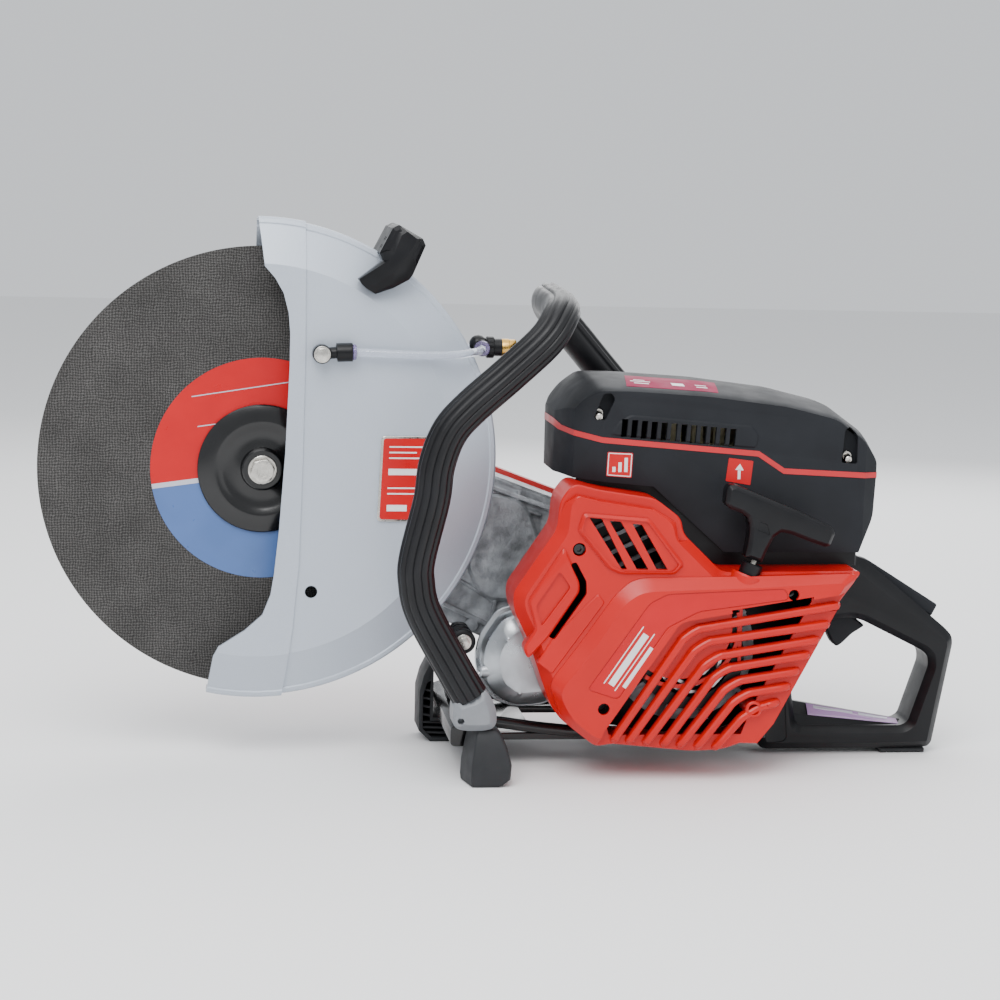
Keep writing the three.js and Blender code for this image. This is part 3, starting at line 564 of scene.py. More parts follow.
def camera_and_stage():
    azimuth, elevation, roll = map(math.radians, CAMERA_TURNS)
    back = Vector((math.sin(azimuth) * math.cos(elevation), -math.cos(azimuth) * math.cos(elevation),
        math.sin(elevation)))
    level = Vector((math.cos(azimuth), math.sin(azimuth), 0))
    rise = back.cross(level)
    right = level * math.cos(roll) + rise * math.sin(roll)
    up = rise * math.cos(roll) - level * math.sin(roll)
    data = bpy.data.cameras.new("camera")
    data.sensor_width = 36
    data.lens = CAMERA_LENS
    camera = bpy.data.objects.new("camera", data)
    columns = (right, up, back)
    place = Matrix([[column[row] for column in columns] for row in range(3)]).to_4x4()
    place.translation = (Vector(CAMERA_TARGET) + back * CAMERA_DISTANCE) * MM
    camera.matrix_world = place
    bpy.context.scene.collection.objects.link(camera)
    bpy.context.scene.camera = camera

    corners = [(x * FLOOR_REACH, y * FLOOR_REACH, FLOOR_HEIGHT) for x,
        y in ((-1, -1), (1, -1), (1, 1), (-1, 1))]
    floor = build("floor", corners, [(0, 1, 2, 3)])
    floor_look, _ = new_material("floor_paper", (0.86, 0.86, 0.86), 0.9)
    floor.data.materials.append(floor_look)

    world = bpy.data.worlds.new("studio")
    world.use_nodes = True
    world.node_tree.nodes["Background"].inputs["Color"].default_value = (0.93, 0.96, 1.0, 1)
    world.node_tree.nodes["Background"].inputs["Strength"].default_value = 0.9
    bpy.context.scene.world = world

    for name, (spot, size, power) in LAMPS.items():
        data = bpy.data.lights.new(name, "AREA")
        data.energy = power
        data.size = size
        lamp = bpy.data.objects.new(name, data)
        lamp.location = Vector(spot) * MM
        aim = Vector(LAMP_TARGET) * MM - lamp.location
        lamp.rotation_euler = aim.to_track_quat("-Z", "Y").to_euler()
        bpy.context.scene.collection.objects.link(lamp)


# ---------------------------------------------------------------- disc, flanges and bolt
LABEL_RADIUS = 88.7
LABEL_BORE = 47
DIVIDER_TILT = math.radians(8)


def label_patch(name, outline, look, lift):
    """Printed patch on the near face of the disc label, clipped to its ring."""
    low, _ = node_box("abrasive_disc")
    near = low.y - lift
    patch = prism(name, outline, near, near + 0.08)
    clip = turned(name + "_clip", [(LABEL_BORE, near - 1), (LABEL_RADIUS, near - 1),
        (LABEL_RADIUS, near + 1), (LABEL_BORE, near + 1)], HUB)
    return piece(common(patch, clip), "wheel", look)


def band_outline(middle, half, reach=95):
    """Strip across the label, tilted as the divider is, a given distance above the spindle."""
    c, s = math.cos(DIVIDER_TILT), math.sin(DIVIDER_TILT)
    corners = [(-reach, middle - half), (reach, middle - half), (reach, middle + half),
        (-reach, middle + half)]
    return [(SPINDLE.x + u * c - v * s, SPINDLE.z + u * s + v * c) for u, v in corners]


def disc_and_label():
    """Abrasive disc with a two-coloured paper label on its near side and a plain one behind."""
    low, high = node_box("abrasive_disc")
    radius = (high.x - low.x) / 2
    near, far = low.y, high.y
    profile = [(10.3, near), (radius - 0.5, near), (radius, near + 0.4), (radius, far - 0.4),
        (radius - 0.5, far), (10.3, far)]
    disc = turned("disc", profile, HUB, segments=160)
    piece(disc, "wheel", "abrasive", ["abrasive_disc"])
    paper = turned("disc_paper", [(46, near - 0.1), (LABEL_RADIUS, near - 0.1), (LABEL_RADIUS, near - 0.01),
        (46, near - 0.01)], HUB, segments=128)
    piece(paper, "wheel", "label_red")
    label_patch("label_lower", band_outline(-55, 50), "label_blue", 0.2)
    label_patch("label_divider", band_outline(-3, 1.95), "label_silver", 0.3)
    for i, (start, end) in enumerate((((-254.7, 289.9), (-172, 303.3)), ((-249.8, 266), (-222, 270.2)))):
        label_patch(f"label_line_{i}", ribbon([start, end], 0.8), "label_silver", 0.3)
    back_paper = turned("disc_paper_back", [(46, far + 0.01), (70, far + 0.01), (70, far + 0.1),
        (46, far + 0.1)], HUB, segments=96)
    piece(back_paper, "wheel", "label_white")


def flange_and_bolt():
    """Dished black flange, washer and a domed hexagon head."""
    back = node_box("outer_flange")[1].y
    profile = [(10.3, back), (50.9, back), (51.5, back - 0.6), (51.5, back - 1.9), (50.6, back - 2.8),
        (46.5, back - 4), (38.5, back - 5.2), (35.5, back - 5), (32.5, back - 3.4), (28, back - 2.6),
        (20, back - 2.6), (17.5, back - 3.2), (16.6, back - 5), (16.2, back - 8), (15.2, back - 8.9),
        (10.3, back - 8.9)]
    piece(turned("flange", profile, HUB, segments=128), "wheel", "black_steel", ["outer_flange"], angle=25)
    low, high = node_box("bolt_washer")
    washer = turned("washer", [(5.4, low.y + 0.2), (11, low.y), (11.5, low.y + 0.4), (11.5, high.y),
        (5.4, high.y)], HUB)
    piece(washer, "wheel", "zinc", ["bolt_washer"])
    low, high = node_box("disc_bolt")
    head = prism("bolt", hexagon((SPINDLE.x, SPINDLE.z), 9.8, 12), low.y, low.y + 6.3)
    dome = turned("bolt_dome", [(0, low.y), (8.4, low.y), (10, low.y + 1.1), (10, low.y + 6.3),
        (0, low.y + 6.3)], HUB, closed=False)
    common(head, dome)
    cut(head, turned("bolt_dish", [(0, low.y + 0.6), (4.6, low.y + 0.6), (5, low.y - 1), (0, low.y - 1)],
        HUB, closed=False))
    add(head, pin("bolt_shank", SPINDLE.x, SPINDLE.z, low.y + 6, high.y, 5))
    piece(soften(head, 0.18, 2), "wheel", "zinc", ["disc_bolt"], angle=20)


# ---------------------------------------------------------------- guard
GUARD_CENTRE = (SPINDLE.x - 4, 0, SPINDLE.z + 9)
GUARD_RADIUS = 190.5
GUARD_FLAT = 156
GUARD_HALF = 27
GUARD_WALL = 1.8

FRONT_EDGE = [(-208, 452), (-204.4, 435.3), (-201.7, 416), (-199.2, 395.9), (-191, 386.7), (-184.3, 375.1),
    (-180.2, 359.7), (-178.8, 344.1), (-178.9, 318.1), (-181.4, 249.9), (-185.7, 186.3), (-189.2, 151.6),
    (-191.7, 135.6), (-198, 119.5), (-212, 106.8), (-232.5, 93.7), (-236.5, 86), (-243, 45)]
CREASE = [(-167, 452), (-167.2, 392.6), (-166.7, 323.6), (-167.7, 239.7), (-169.6, 159.6), (-174.2, 106.2),
    (-182.2, 45)]


def guard_turn(name, grow):
    """Solid of revolution of the guard's outside, grown by a distance: flat side, cone band, rolled rim."""
    radius, half = GUARD_RADIUS + grow, GUARD_HALF + grow
    side = [(0, -half), (GUARD_FLAT, -half), (radius - 6.4, -half + 11.6), (radius - 5.4, -half + 12),
        (radius - 4.2, -half + 11.5), (radius - 1.4, -half + 12.4), (radius, -half + 14.2), (radius, -6)]
    profile = side + [(r, -y) for r, y in reversed(side)]
    return turned(name, profile, GUARD_CENTRE, segments=180, closed=False)


def guard_region(name, edge, near, far):
    """Everything behind a front edge, between two depths."""
    return prism(name, edge + [(40, 45), (40, 452)], near, far)


def guard_shell():
    """Thin shell: a large near side, a small far side and a raised band along the front edge."""
    shell = cut(guard_turn("guard", 0), guard_turn("guard_hollow", -GUARD_WALL))
    near = common(shell, guard_region("near_region", FRONT_EDGE, -60, 0.3))
    far_edge = [(-204.4, 452), (-204, 300), (-246, 275), (-250, 233), (-246, 195), (-206, 160), (-243, 45)]
    other = cut(guard_turn("guard_far", 0), guard_turn("guard_far_hollow", -GUARD_WALL))
    common(other, guard_region("far_region", far_edge, -0.3, 60))
    add(near, other)
    band = cut(guard_turn("band", 1.5), guard_turn("band_hollow", -1.2))
    strip = FRONT_EDGE + list(reversed(CREASE))
    common(band, prism("band_region", strip, -60, 0.2))
    add(near, band)
    cut(near, pin("guard_hub_hole", SPINDLE.x, SPINDLE.z, 10, 40, 28, 64, edge=0))
    cut(near, pin("guard_hole", -159.5, 137.8, -40, -10, 5, 32, edge=0))
    soften(near, 0.5, 2, 40)
    piece(near, "guard", "guard", ["guard_shell"], angle=16)


def guard_details():
    """Label plate on the guard, with plain bars in place of its text."""
    low, _ = node_box("guard_label_plate")
    outline = [(-105.6, 263.5), (-60.3, 263.5), (-62.3, 195.1), (-108.1, 195.1)]
    frame_plate = prism("label_frame", outline, low.y, low.y + 1.4, corner=3.5, edge=0.4)
    piece(frame_plate, "guard", "zinc", ["guard_label_plate"])
    face = prism("label_face", inset(outline, 1.8), low.y - 0.15, low.y + 0.3, corner=2.5)
    piece(face, "guard", "label_red")
    bars = ((255, 28, 1.1), (250.5, 22, 1.1), (246, 26, 1.1), (235, 30, 5), (222, 24, 1.1),
        (217.5, 29, 1.1), (206, 16, 5))
    for i, (z, width, height) in enumerate(bars):
        left = -99 - (260 - z) * 0.03
        mark = box_outline(left + width / 2, z - height / 2, width, height)
        piece(prism(f"label_mark_{i}", mark, low.y - 0.3, low.y - 0.1), "guard", "label_white")


LEVER_FACE = [(-126.2, 387.7), (-103.5, 402.6), (-99.3, 407.9), (-93.8, 422.1), (-89.2, 425.2),
    (-81.7, 419.8), (-83.6, 415), (-91.9, 401.8), (-94.6, 398.6), (-99.1, 393.4), (-120.6, 380.6),
    (-124.6, 384)]
LEVER_EDGE = [(-126.9, 387.4), (-107.8, 402.4), (-110.4, 408.1), (-100.4, 427.6), (-95.2, 430.1),
    (-76.6, 419.7), (-74.3, 414.6), (-83.9, 391.4), (-86.8, 387.6), (-99, 380.9), (-113.1, 375.9),
    (-120, 380)]


def guard_lever():
    """Bent bar over the guard's edge: a flat near face between a bright upper facet and a dark lower one."""
    low, high = node_box("guard_lever")
    mid = [tuple(Vector(a) * 0.25 + Vector(b) * 0.75) for a, b in zip(LEVER_FACE, LEVER_EDGE)]
    lever = loft("lever", [at_depth(LEVER_FACE, low.y - 0.8), at_depth(mid, low.y + 2.2),
        at_depth(LEVER_EDGE, low.y + 4.4), at_depth(LEVER_EDGE, low.y + 10.2)])
    crown = [(-110.4, 408.1), (-100.4, 427.6), (-95.2, 430.1), (-76.6, 419.7), (-74.3, 414.6), (-81, 398.6),
        (-90, 405), (-98, 407)]
    add(lever, prism("lever_crown", crown, low.y + 0.6, high.y, edge=3))
    for i, j in ((0, 0), (0, 1), (1, 0), (1, 1)):
        y = low.y + 14 + 9 * j
        start, end = (-112 + 3.2 * i, y, 415 + 6 * i), (-100 + 3.2 * i, y, 409 + 6 * i)
        cut(lever, bar("lever_hole", start, end, 1.9, 16, edge=0))
    piece(soften(lever, 0.7, 2, 20), "guard", "black", ["guard_lever"], angle=24)


HOSE_Y = 34.2
BANJO_PLACE = (44, 95.6)  # from the spindle, in X and Z
TEE_PLACE = (168, 98)


def water_kit():
    """Elbow on each side of the guard, clear hose over its rim, tee, union nut and brass tail."""
    for side, name in ((-1, "near"), (1, "far")):
        x, z = SPINDLE.x + BANJO_PLACE[0], SPINDLE.z + BANJO_PLACE[1]
        hose_y = side * HOSE_Y
        face = side * 27.6
        body = pin(f"elbow_{name}", x, z, face, side * 40.6, 7.4, 40, edge=1)
        route = [(x + 3, hose_y, z + 0.3), (x + 10, hose_y, z + 1), (x + 14, hose_y, z + 1.3),
            (x + 24, hose_y, z + 1.6)]
        add(body, sweep("elbow_arm", route, lambda t: circle(4.6 if t < 0.45 else 7.4, 32), 6))
        piece(soften(body, 0.4, 2, 35), "guard", "black", [f"water_elbow_{name}"])
        ends = sorted((side * 40.8, side * 44.6))
        head = add(prism(f"banjo_{name}", hexagon((x, z), 5.6), *ends),
            pin("banjo_flange", x, z, side * 40.7, side * 41.6, 6.6, 40, edge=0.2))
        piece(soften(head, 0.4, 2), "guard", "zinc")
        collet = bar(f"collet_{name}", (x + 24.1, hose_y, z + 1.6), (x + 27, hose_y, z + 1.6), 6.2, 40)
        piece(collet, "guard", "collet")
    start = SPINDLE.x + 68.4
    height = SPINDLE.z + 97.2
    turn_x, turn_z = SPINDLE.x + TEE_PLACE[0], SPINDLE.z + TEE_PLACE[1]
    near = [(start, -HOSE_Y, height), (SPINDLE.x + 120, -34.6, height - 1.4),
        (SPINDLE.x + 150, -33, height - 1), (turn_x, -22, turn_z), (turn_x + 5, -14, turn_z + 1.6)]
    for side, name in ((1, "near"), (-1, "far")):
        hose = sweep(f"hose_{name}", [(x, side * y, z) for x, y, z in near], circle(3.2), 10)
        piece(hose, "guard", "hose", ["water_line"])
        collar = bar(f"tee_collet_{name}", (turn_x + 5, side * -13.6, turn_z + 1.6),
            (turn_x + 6, side * -10.4, turn_z + 2), 6.2, 40)
        piece(collar, "guard", "collet")
    tee = pin("tee", turn_x + 5.6, turn_z + 2, -10.6, 10.6, 6.6, 48, edge=1)
    low, high = node_box("water_coupling")
    axis = (low.z + high.z) / 2
    ball = [(0, -7.4), (2.9, -6.8), (5.2, -5.2), (6.8, -2.9), (7.4, 0), (6.8, 2.9), (5.2, 5.2), (2.9, 6.8),
        (0, 7.4)]
    add(tee, turned("tee_ball", ball, (turn_x + 3.6, 0, turn_z + 4.6), (1, 0, 0), 48, closed=False),
        bar("tee_stem", (turn_x + 4, 0, axis), (low.x + 1, 0, axis), 6.4, 48))
    piece(soften(tee, 0.5, 2, 35), "guard", "black")
    nut = turned("union_nut", [(3, 0.4), (8.2, 0.4), (8.8, 1), (8.8, 6), (8.2, 6.6), (7.1, 6.8),
        (7.1, 12.8), (3, 12.8)], (low.x, 0, axis), (1, 0, 0), 48)
    for i in range(12):
        angle = math.radians(30 * i)
        y, z = 9.2 * math.cos(angle), axis + 9.2 * math.sin(angle)
        cut(nut, bar("nut_flute", (low.x - 1, y, z), (low.x + 5.6, y, z), 1, 12, edge=0))
    piece(nut, "guard", "black")
    profile = [(3.4, 12.9), (7, 12.9), (7.1, 13.4), (7.1, 18.4), (6.7, 18.8), (6.7, 23.6), (6.2, 24.4),
        (3.4, 24.6)]
    tail = turned("brass_tail", profile, (low.x, 0, axis), (1, 0, 0), 64)
    piece(tail, "guard", "brass", ["water_coupling"])


# ---------------------------------------------------------------- hood over the air filter
HOOD_SIDE = [(30, 214), (106, 203), (124, 190), (155, 158), (276, 158), (293, 205), (295, 252), (282, 274),
    (256, 292.5), (214, 302.5), (150, 310), (88, 313.5), (60, 313.5), (46, 303), (30, 282)]
HOOD_PLAN = [(68, -73), (43, -62), (33, -24), (33, 24), (43, 62), (68, 73), (276, 73), (289, 64), (296, 30),
    (296, -30), (289, -64), (276, -73)]
HOOD_FOOT = [(0, 236.5), (37, 236.5), (106, 230.5), (124, 214.5), (165, 178.5), (320, 178.5), (320, 120),
    (0, 120)]
HOOD_CROWN = [(8, -72), (5.5, -64), (2.2, -44), (0.3, -20), (0, 0), (0.3, 20), (2.2, 44), (5.5, 64),
    (8, 72)]
STRIPE = [(10, 297), (21, 287.1), (35.7, 273.1), (63.7, 267.1), (189.8, 257.3), (211, 243.7),
    (286.4, 240.3), (310, 239.3)]
STRIPE_WIDTH = 4.4


def hood_block(name, shrink):
    """The hood's outside, shrunk on every side."""
    side = inset(HOOD_SIDE, shrink) if shrink else HOOD_SIDE
    loops = []
    for crown, y in HOOD_CROWN:
        reach = y * (72 - shrink) / 72
        loops.append([(x, reach, z) for x, z in rounded(inset(side, crown) if crown else side, 5)])
    body = loft(name, loops)
    plan = inset(HOOD_PLAN, shrink) if shrink else HOOD_PLAN
    low = [(x, y, 100) for x, y in plan]
    high = [(x, y, 400) for x, y in plan]
    return common(body, loft(name + "_plan", [low, high]))


def hood():
    """Charcoal shell with vents and screw recesses, and the red stripe laid on its skin."""
    shell = hood_block("hood", 0)
    panel = prism("vent_panel", [(69, 271), (76, 281), (86, 287.4), (184, 279.6), (190, 272), (188, 261.4)],
        -73.4, -60, corner=3, edge=1.4)
    add(shell, panel)
    tools = [hood_block("hood_hollow", 3), prism("hood_foot", HOOD_FOOT, -90, 90)]
    start, pitch = 78.4, 7.9
    for i in range(12):
        x, drop = start + pitch * i, 0.62 * i
        slot = [(x + 0.8, 283.8 - drop), (x + 5.6, 283.8 - drop), (x + 4.8, 269.6 - drop),
            (x, 269.6 - drop)]
        tools.append(prism(f"vent_{i}", slot, -80, -60))
    recesses = [[(57.3, 283.6), (65.8, 282.4), (73.4, 299.4), (70.5, 304.1), (64, 303.2)],
        [(257.6, 250.6), (270.6, 249.8), (270.2, 273.2), (264.9, 279.3), (259.6, 277.6)]]
    for i, outline in enumerate(recesses):
        tools.append(prism(f"recess_{i}", outline, -80, -62, corner=2))
    cut(shell, *tools)
    soften(shell, 0.9, 2, 25)
    piece(shell, "chassis", "charcoal", ["filter_cover"], angle=26)
    skin = cut(hood_block("stripe", -0.35), hood_block("stripe_hollow", 0.6))
    common(skin, prism("stripe_path", ribbon(STRIPE, STRIPE_WIDTH), -90, 90))
    piece(skin, "chassis", "stripe")


def recess_floor():
    """Bottom of each teardrop recess with its bright captive screw."""
    for name, x, z in (("cover_screw_front", 61.8, 285.4), ("cover_screw_rear", 264.2, 253.4)):
        floor = [(x - 9, z - 6), (x + 12, z - 6), (x + 14, z + 29), (x - 9, z + 29)]
        pocket = prism(f"{name}_pocket", floor, -62, -60)
        common(pocket, hood_block("pocket_limit", 1))
        piece(pocket, "chassis", "charcoal")
        head = pin(f"{name}_head", x, z + 2, -64, -61.8, 3.9, 28, edge=0.5)
        add(head, bar("neck", (x - 0.3, -70.2, z - 0.6), (x, -62, z + 2), 2.9, 24, edge=0.4))
        cut(head, bar("slot", (x - 0.4, -71.4, z - 0.8), (x - 0.2, -68.6, z - 0.3), 1.5, 6, edge=0))
        piece(head, "chassis", "zinc", [name])


def intake_tray():
    """Black tray that shows between the hood and the starter cover."""
    edge = [(46, 243), (106, 237), (128, 219), (168, 183), (276, 183), (276, 166), (168, 164), (154, 169),
        (120, 201), (100, 219), (46, 226)]
    piece(prism("intake_tray", edge, -62, -56, edge=1), "chassis", "black")


def sticker(name, outline, y, look, marks=()):
    """Flat label on the hood's near face with white marks."""
    sheet = prism(name, outline, y - 0.12, y + 0.4, corner=0.8)
    piece(sheet, "chassis", look)
    for i, mark in enumerate(marks):
        piece(prism(f"{name}_mark_{i}", mark, y - 0.2, y - 0.05), "chassis", "label_white")


def hood_stickers():
    """Generic labels: rising bars, an arrow and a magenta plate with plain bars on the crown."""
    face = -72.2
    corners = [(67.8, 238.7), (88.1, 237.4), (88.8, 257.1), (68.5, 257.8)]
    inner = inset(corners, 1)
    frame_marks = [ribbon([a, b], 0.7) for a, b in zip(inner, inner[1:] + inner[:1])]
    rising = ((73.8, 4), (78.6, 7.6), (83.4, 11.2))
    frame_marks += [box_outline(x, 242, 2.6, height) for x, height in rising]
    sticker("sticker_front", corners, face, "label_red", frame_marks)
    arrow_marks = [box_outline(174.6, 237, 2.2, 7.6), [(171.2, 244.4), (178.2, 244), (175, 249.2)]]
    sticker("sticker_rear", [(163.9, 235.5), (184, 232.2), (185.8, 251.5), (165.9, 253.9)], face,
        "label_red", arrow_marks)
    skin = cut(hood_block("decal", -0.2), hood_block("decal_hollow", 0.6))
    area = [(84, -61, 280), (158, -61, 280), (164, -18, 280), (90, -18, 280)]
    top = [(x, y, 330) for x, y, _ in area]
    piece(common(skin, loft("decal_area", [area, top])), "chassis", "label_magenta")
    bars = ((98, -50, 12, 2), (98, -44, 16, 2), (98, -38, 9, 2), (128, -46, 10, 8), (147, -50, 9, 2),
        (147, -44, 9, 2))
    for i, (x, y, width, depth) in enumerate(bars):
        mark = cut(hood_block(f"decal_mark_{i}", -0.35), hood_block("mark_hollow", 0.4))
        corners = [(x - width / 2, y - depth / 2), (x + width / 2, y - depth / 2),
            (x + width / 2, y + depth / 2), (x - width / 2, y + depth / 2)]
        tool = loft("mark_area", [[(u, v, 280) for u, v in corners], [(u, v, 330) for u, v in corners]])
        piece(common(mark, tool), "chassis", "label_white")


# ---------------------------------------------------------------- red starter cover
COVER_NEAR = -112
COVER_STEP = -104
COVER_FAR = -52
LOUVRE_FLOOR = -106
OUTSIDE = -130  # nearer than every face of the cover: cutting tools start here
COVER_SIDE = [(38, 236), (58, 231), (103, 224.5), (124, 209), (126, 197), (158, 166.5), (272, 167.5),
    (250, 140), (195.5, 36), (163, 24.5), (136, 24), (72, 31), (60, 28.5), (32, 50), (24, 62), (6, 112),
    (-6, 136), (-7, 150), (26, 200), (28, 223)]
COVER_INSIDE = [(44, 222), (58, 219), (98, 214), (113, 203), (116, 192), (152, 158), (254, 157), (241, 142),
    (188, 47), (160, 34), (136, 33.5), (74, 40), (62, 39), (41, 56), (33, 67), (15, 115), (4, 139),
    (4, 147), (36, 197), (38, 215)]
FIELD_NEAR = [(28.6, 73.1), (52.2, 103), (79.6, 144.2), (89, 151), (98.5, 153.4), (184.8, 156.6),
    (256, 160.5), (247, 148), (193, 46), (160, 33), (136, 32), (72, 38), (60, 36.5), (40, 52)]
FIELD_BASE = [(21.5, 79), (44, 109), (72.4, 150), (85, 161), (98, 163.4), (184.5, 164.5), (268, 167),
    (251, 144), (196.5, 39), (162, 26), (136, 25), (72, 31.5), (60, 29), (33, 50)]
LABEL_FIELD = [(50.7, 76), (98.2, 144.7), (112.2, 151.8), (206.1, 156.2), (209.7, 147.1), (138.1, 137.6),
    (113.2, 125), (75.5, 67.9)]
RIB_BOTTOMS = [(72.7, 33.5), (84.8, 32.4), (98.3, 31.2), (112.6, 29.9), (125.5, 28.9), (139.8, 27.8),
    (154.2, 27)]
RIB_BENDS = [(130.8, 122.2), (139.7, 112.3), (148.6, 100.9), (156.2, 90.9), (165.1, 80.9), (172.7, 70.8),
    (180.4, 57.9)]
RIB_ENDS = [(251.5, 142.3), (244, 127.3), (236.5, 115), (229, 102.8), (221.5, 89.8), (214.5, 77.6),
    (206, 65.2)]
RIB_SECTION = [(7.5, -3.2), (2.4, -3.2), (0.8, -2.5), (0, -1.2), (0, 1.2), (0.8, 2.5), (2.4, 3.2),
    (7.5, 3.2)]
FAN_CLOSED = (124, 125, 42)  # x, z and radius of the disc that stays shut in front of the fan
INTAKE_SLOTS = [[(49.6, 210.4), (59.4, 209.7), (80.5, 170), (76.4, 170)],
    [(65.4, 208.2), (74.5, 207.5), (97.6, 169.8), (88.5, 169.8)],
    [(83.5, 206), (91.1, 205.3), (112.8, 169.8), (104, 169.8)]]
BOSS = (184.4, 59.5)


def rib(index):
    """One louvre: up from the lower edge, round the bend and out over the rear edge."""
    foot, bend, end = (Vector(v) for v in (RIB_BOTTOMS[index], RIB_BENDS[index], RIB_ENDS[index]))
    up, out = (bend - foot).normalized(), (end - bend).normalized()
    turn = [bend - up * 15, bend - up * 7 + out * 0.6, bend + out * 7 - up * 0.6, bend + out * 15]
    flat = [foot + up * 8, foot * 0.5 + bend * 0.5, *turn, bend * 0.4 + end * 0.6, end - out * 7]
    points = [(foot.x - up.x * 1.5, COVER_NEAR + 9, foot.y - up.y * 1.5),
        (foot.x + up.x * 1.2, COVER_NEAR + 2.4, foot.y + up.y * 1.2)]
    points += [(p.x, COVER_NEAR, p.y) for p in flat]
    points += [(end.x - out.x * 1.6, COVER_NEAR + 2, end.y - out.y * 1.6),
        (end.x + 1.2, COVER_NEAR + 8, end.y)]
    return sweep(f"rib_{index}", points, RIB_SECTION, 5)


def starter_cover():
    """Red shell with stepped fields, intake slots, the louvre opening and the rope guide's lip."""
    cover = prism("starter_shell", COVER_SIDE, COVER_STEP, COVER_FAR, corner=6, edge=8, both=False)
    near = at_depth(rounded(FIELD_NEAR, 9), COVER_NEAR)
    base = rounded(FIELD_BASE, 9)
    add(cover, loft("field", [near, at_depth(base, COVER_STEP - 0.8), at_depth(base, -80)]))
    ridge = [(3.5, 144.7), (23.1, 175.5), (31, 187.5), (36, 177), (43.2, 160.1), (43.9, 152.4),
        (20.3, 116.4), (4.5, 99), (0.5, 108), (10, 123)]
    add(cover, prism("ridge", ridge, COVER_STEP - 2.6, -90, corner=3.5, edge=1.6))
    frame_edge = [(45, 214), (97, 210), (126, 174), (119, 166), (76, 166), (66, 170), (41, 200)]
    add(cover, prism("intake_frame", frame_edge, COVER_STEP - 3.4, -90, corner=3, edge=2))
    step = [(58.9, 150.7), (64, 143.5), (24, 87), (12, 96), (24, 116.4)]
    add(cover, prism("step", step, COVER_STEP - 1.2, -90, corner=2, edge=0.8))
    hollow = prism("starter_hollow", inset(COVER_SIDE, 3.2), COVER_STEP + 10, 10, corner=4)
    front_hollow = prism("front_hollow", COVER_INSIDE, COVER_STEP + 3.2, COVER_STEP + 11, corner=4)
    pocket = loft("field_hollow",
        [at_depth(inset(FIELD_NEAR, 3), COVER_NEAR + 3), at_depth(inset(FIELD_BASE, 3), COVER_STEP + 4)])
    louvre_area = [(56, 18), (65.3, 42.2), (121, 125.5), (124.5, 128.6), (130, 130.4), (246, 150.2),
        (285, 157), (285, 10), (60, 10)]
    band = [(14, 250), (112, 240), (142, 214), (134, 192), (121.5, 191), (119, 206), (101, 216.5),
        (58, 223), (41, 227), (31.5, 221), (26, 205), (12, 205)]
    ridge_face = [(9.6, 141.3), (27.6, 168.6), (36.6, 155.9), (14.4, 125)]
    cut(cover, hollow, front_hollow, pocket,
        prism("louvre_recess", louvre_area, OUTSIDE, LOUVRE_FLOOR, corner=1.5),
        prism("band_step", band, OUTSIDE, -97, corner=1),
        prism("ridge_recess", ridge_face, OUTSIDE, COVER_STEP - 0.2, corner=3),
        prism("label_recess", LABEL_FIELD, OUTSIDE, COVER_NEAR + 0.9, corner=4))
    floor = [(58, 36), (121, 128), (130, 133), (252, 153), (252, 140), (203, 46), (190, 30), (66, 34)]
    add(cover, prism("louvre_floor", inset(floor, 1), LOUVRE_FLOOR, LOUVRE_FLOOR + 2.4))
    openings = [(70, 38.5), (176, 38.5), (184, 60), (229, 145), (229, 149.5), (135, 134), (124, 131),
        (68, 46)]
    closed_x, closed_z, closed_r = FAN_CLOSED
    opening = prism("louvre_opening", openings, OUTSIDE, COVER_STEP + 12)
    cut(opening, pin("fan_closed", closed_x, closed_z, -140, -80, closed_r, 72, edge=0))
    slots = [prism("intake_slot", points, OUTSIDE, -85, corner=0.8) for points in INTAKE_SLOTS]
    intake_face = [(46.5, 211.5), (95.5, 207.6), (121.5, 174), (117, 168.4), (77.5, 168.4), (70, 172),
        (44.5, 200)]
    gap = [(36, 173.9), (40.7, 175.4), (49.2, 160), (49.6, 150), (25, 114.3), (20.5, 116.6), (43.6, 152.2),
        (43.4, 159.5)]
    cut(cover, opening, *slots, prism("intake_face", intake_face, OUTSIDE, COVER_STEP - 1.6, corner=2),
        prism("curved_slot", gap, OUTSIDE, -90, corner=1.5),
        pin("socket_hole", 42.8, 185.2, OUTSIDE, -99, 5.2, 32, edge=0),
        pin("hole_rear", 212.9, 150.9, OUTSIDE, -101, 4.3, 32, edge=0),
        pin("hole_low", 64.5, 60.5, OUTSIDE, -101, 4.6, 32, edge=0))
    for i in range(7):
        piece(rib(i), "chassis", "red", angle=30)
    add(cover, pin("boss", *BOSS, COVER_NEAR - 0.2, -88, 6.6, 32, edge=1))
    cut(cover, pin("boss_hole", *BOSS, OUTSIDE, -100, 4.4, 32, edge=0))
    ring_bar = turned("fan_ring", [(46.2, -105.7), (49.4, -105.7), (49.4, -103.8), (46.2, -103.8)],
        (closed_x, 0, closed_z), segments=96)
    ring_area = [(66, 30), (200, 30), (250, 148), (138, 131), (122, 127)]
    common(ring_bar, prism("ring_area", ring_area, -110, -90))
    add(cover, ring_bar, prism("cross_bar", box_outline(172.5, 96, 2.6, 46), -105.6, -103.9))
    guide = middle_of("rope_guide")
    lip = turned("guide_lip", [(7.6, -12), (12.8, -14), (13.6, -2), (12.6, -0.4), (11.2, -0.6), (7.6, -4)],
        (guide.x, guide.y, guide.z + 1), tuple(PULL), 48)
    add(cover, common(lip, prism("lip_area", [(150, 145), (215, 145), (215, 185), (150, 185)], -113, -80)))
    cut(cover, bar("rope_way", guide - PULL * 30, guide + PULL * 20, 7.3, 40, edge=0))
    soften(cover, 0.55, 2, 30)
    piece(cover, "chassis", "red", ["starter_cover"], angle=30)


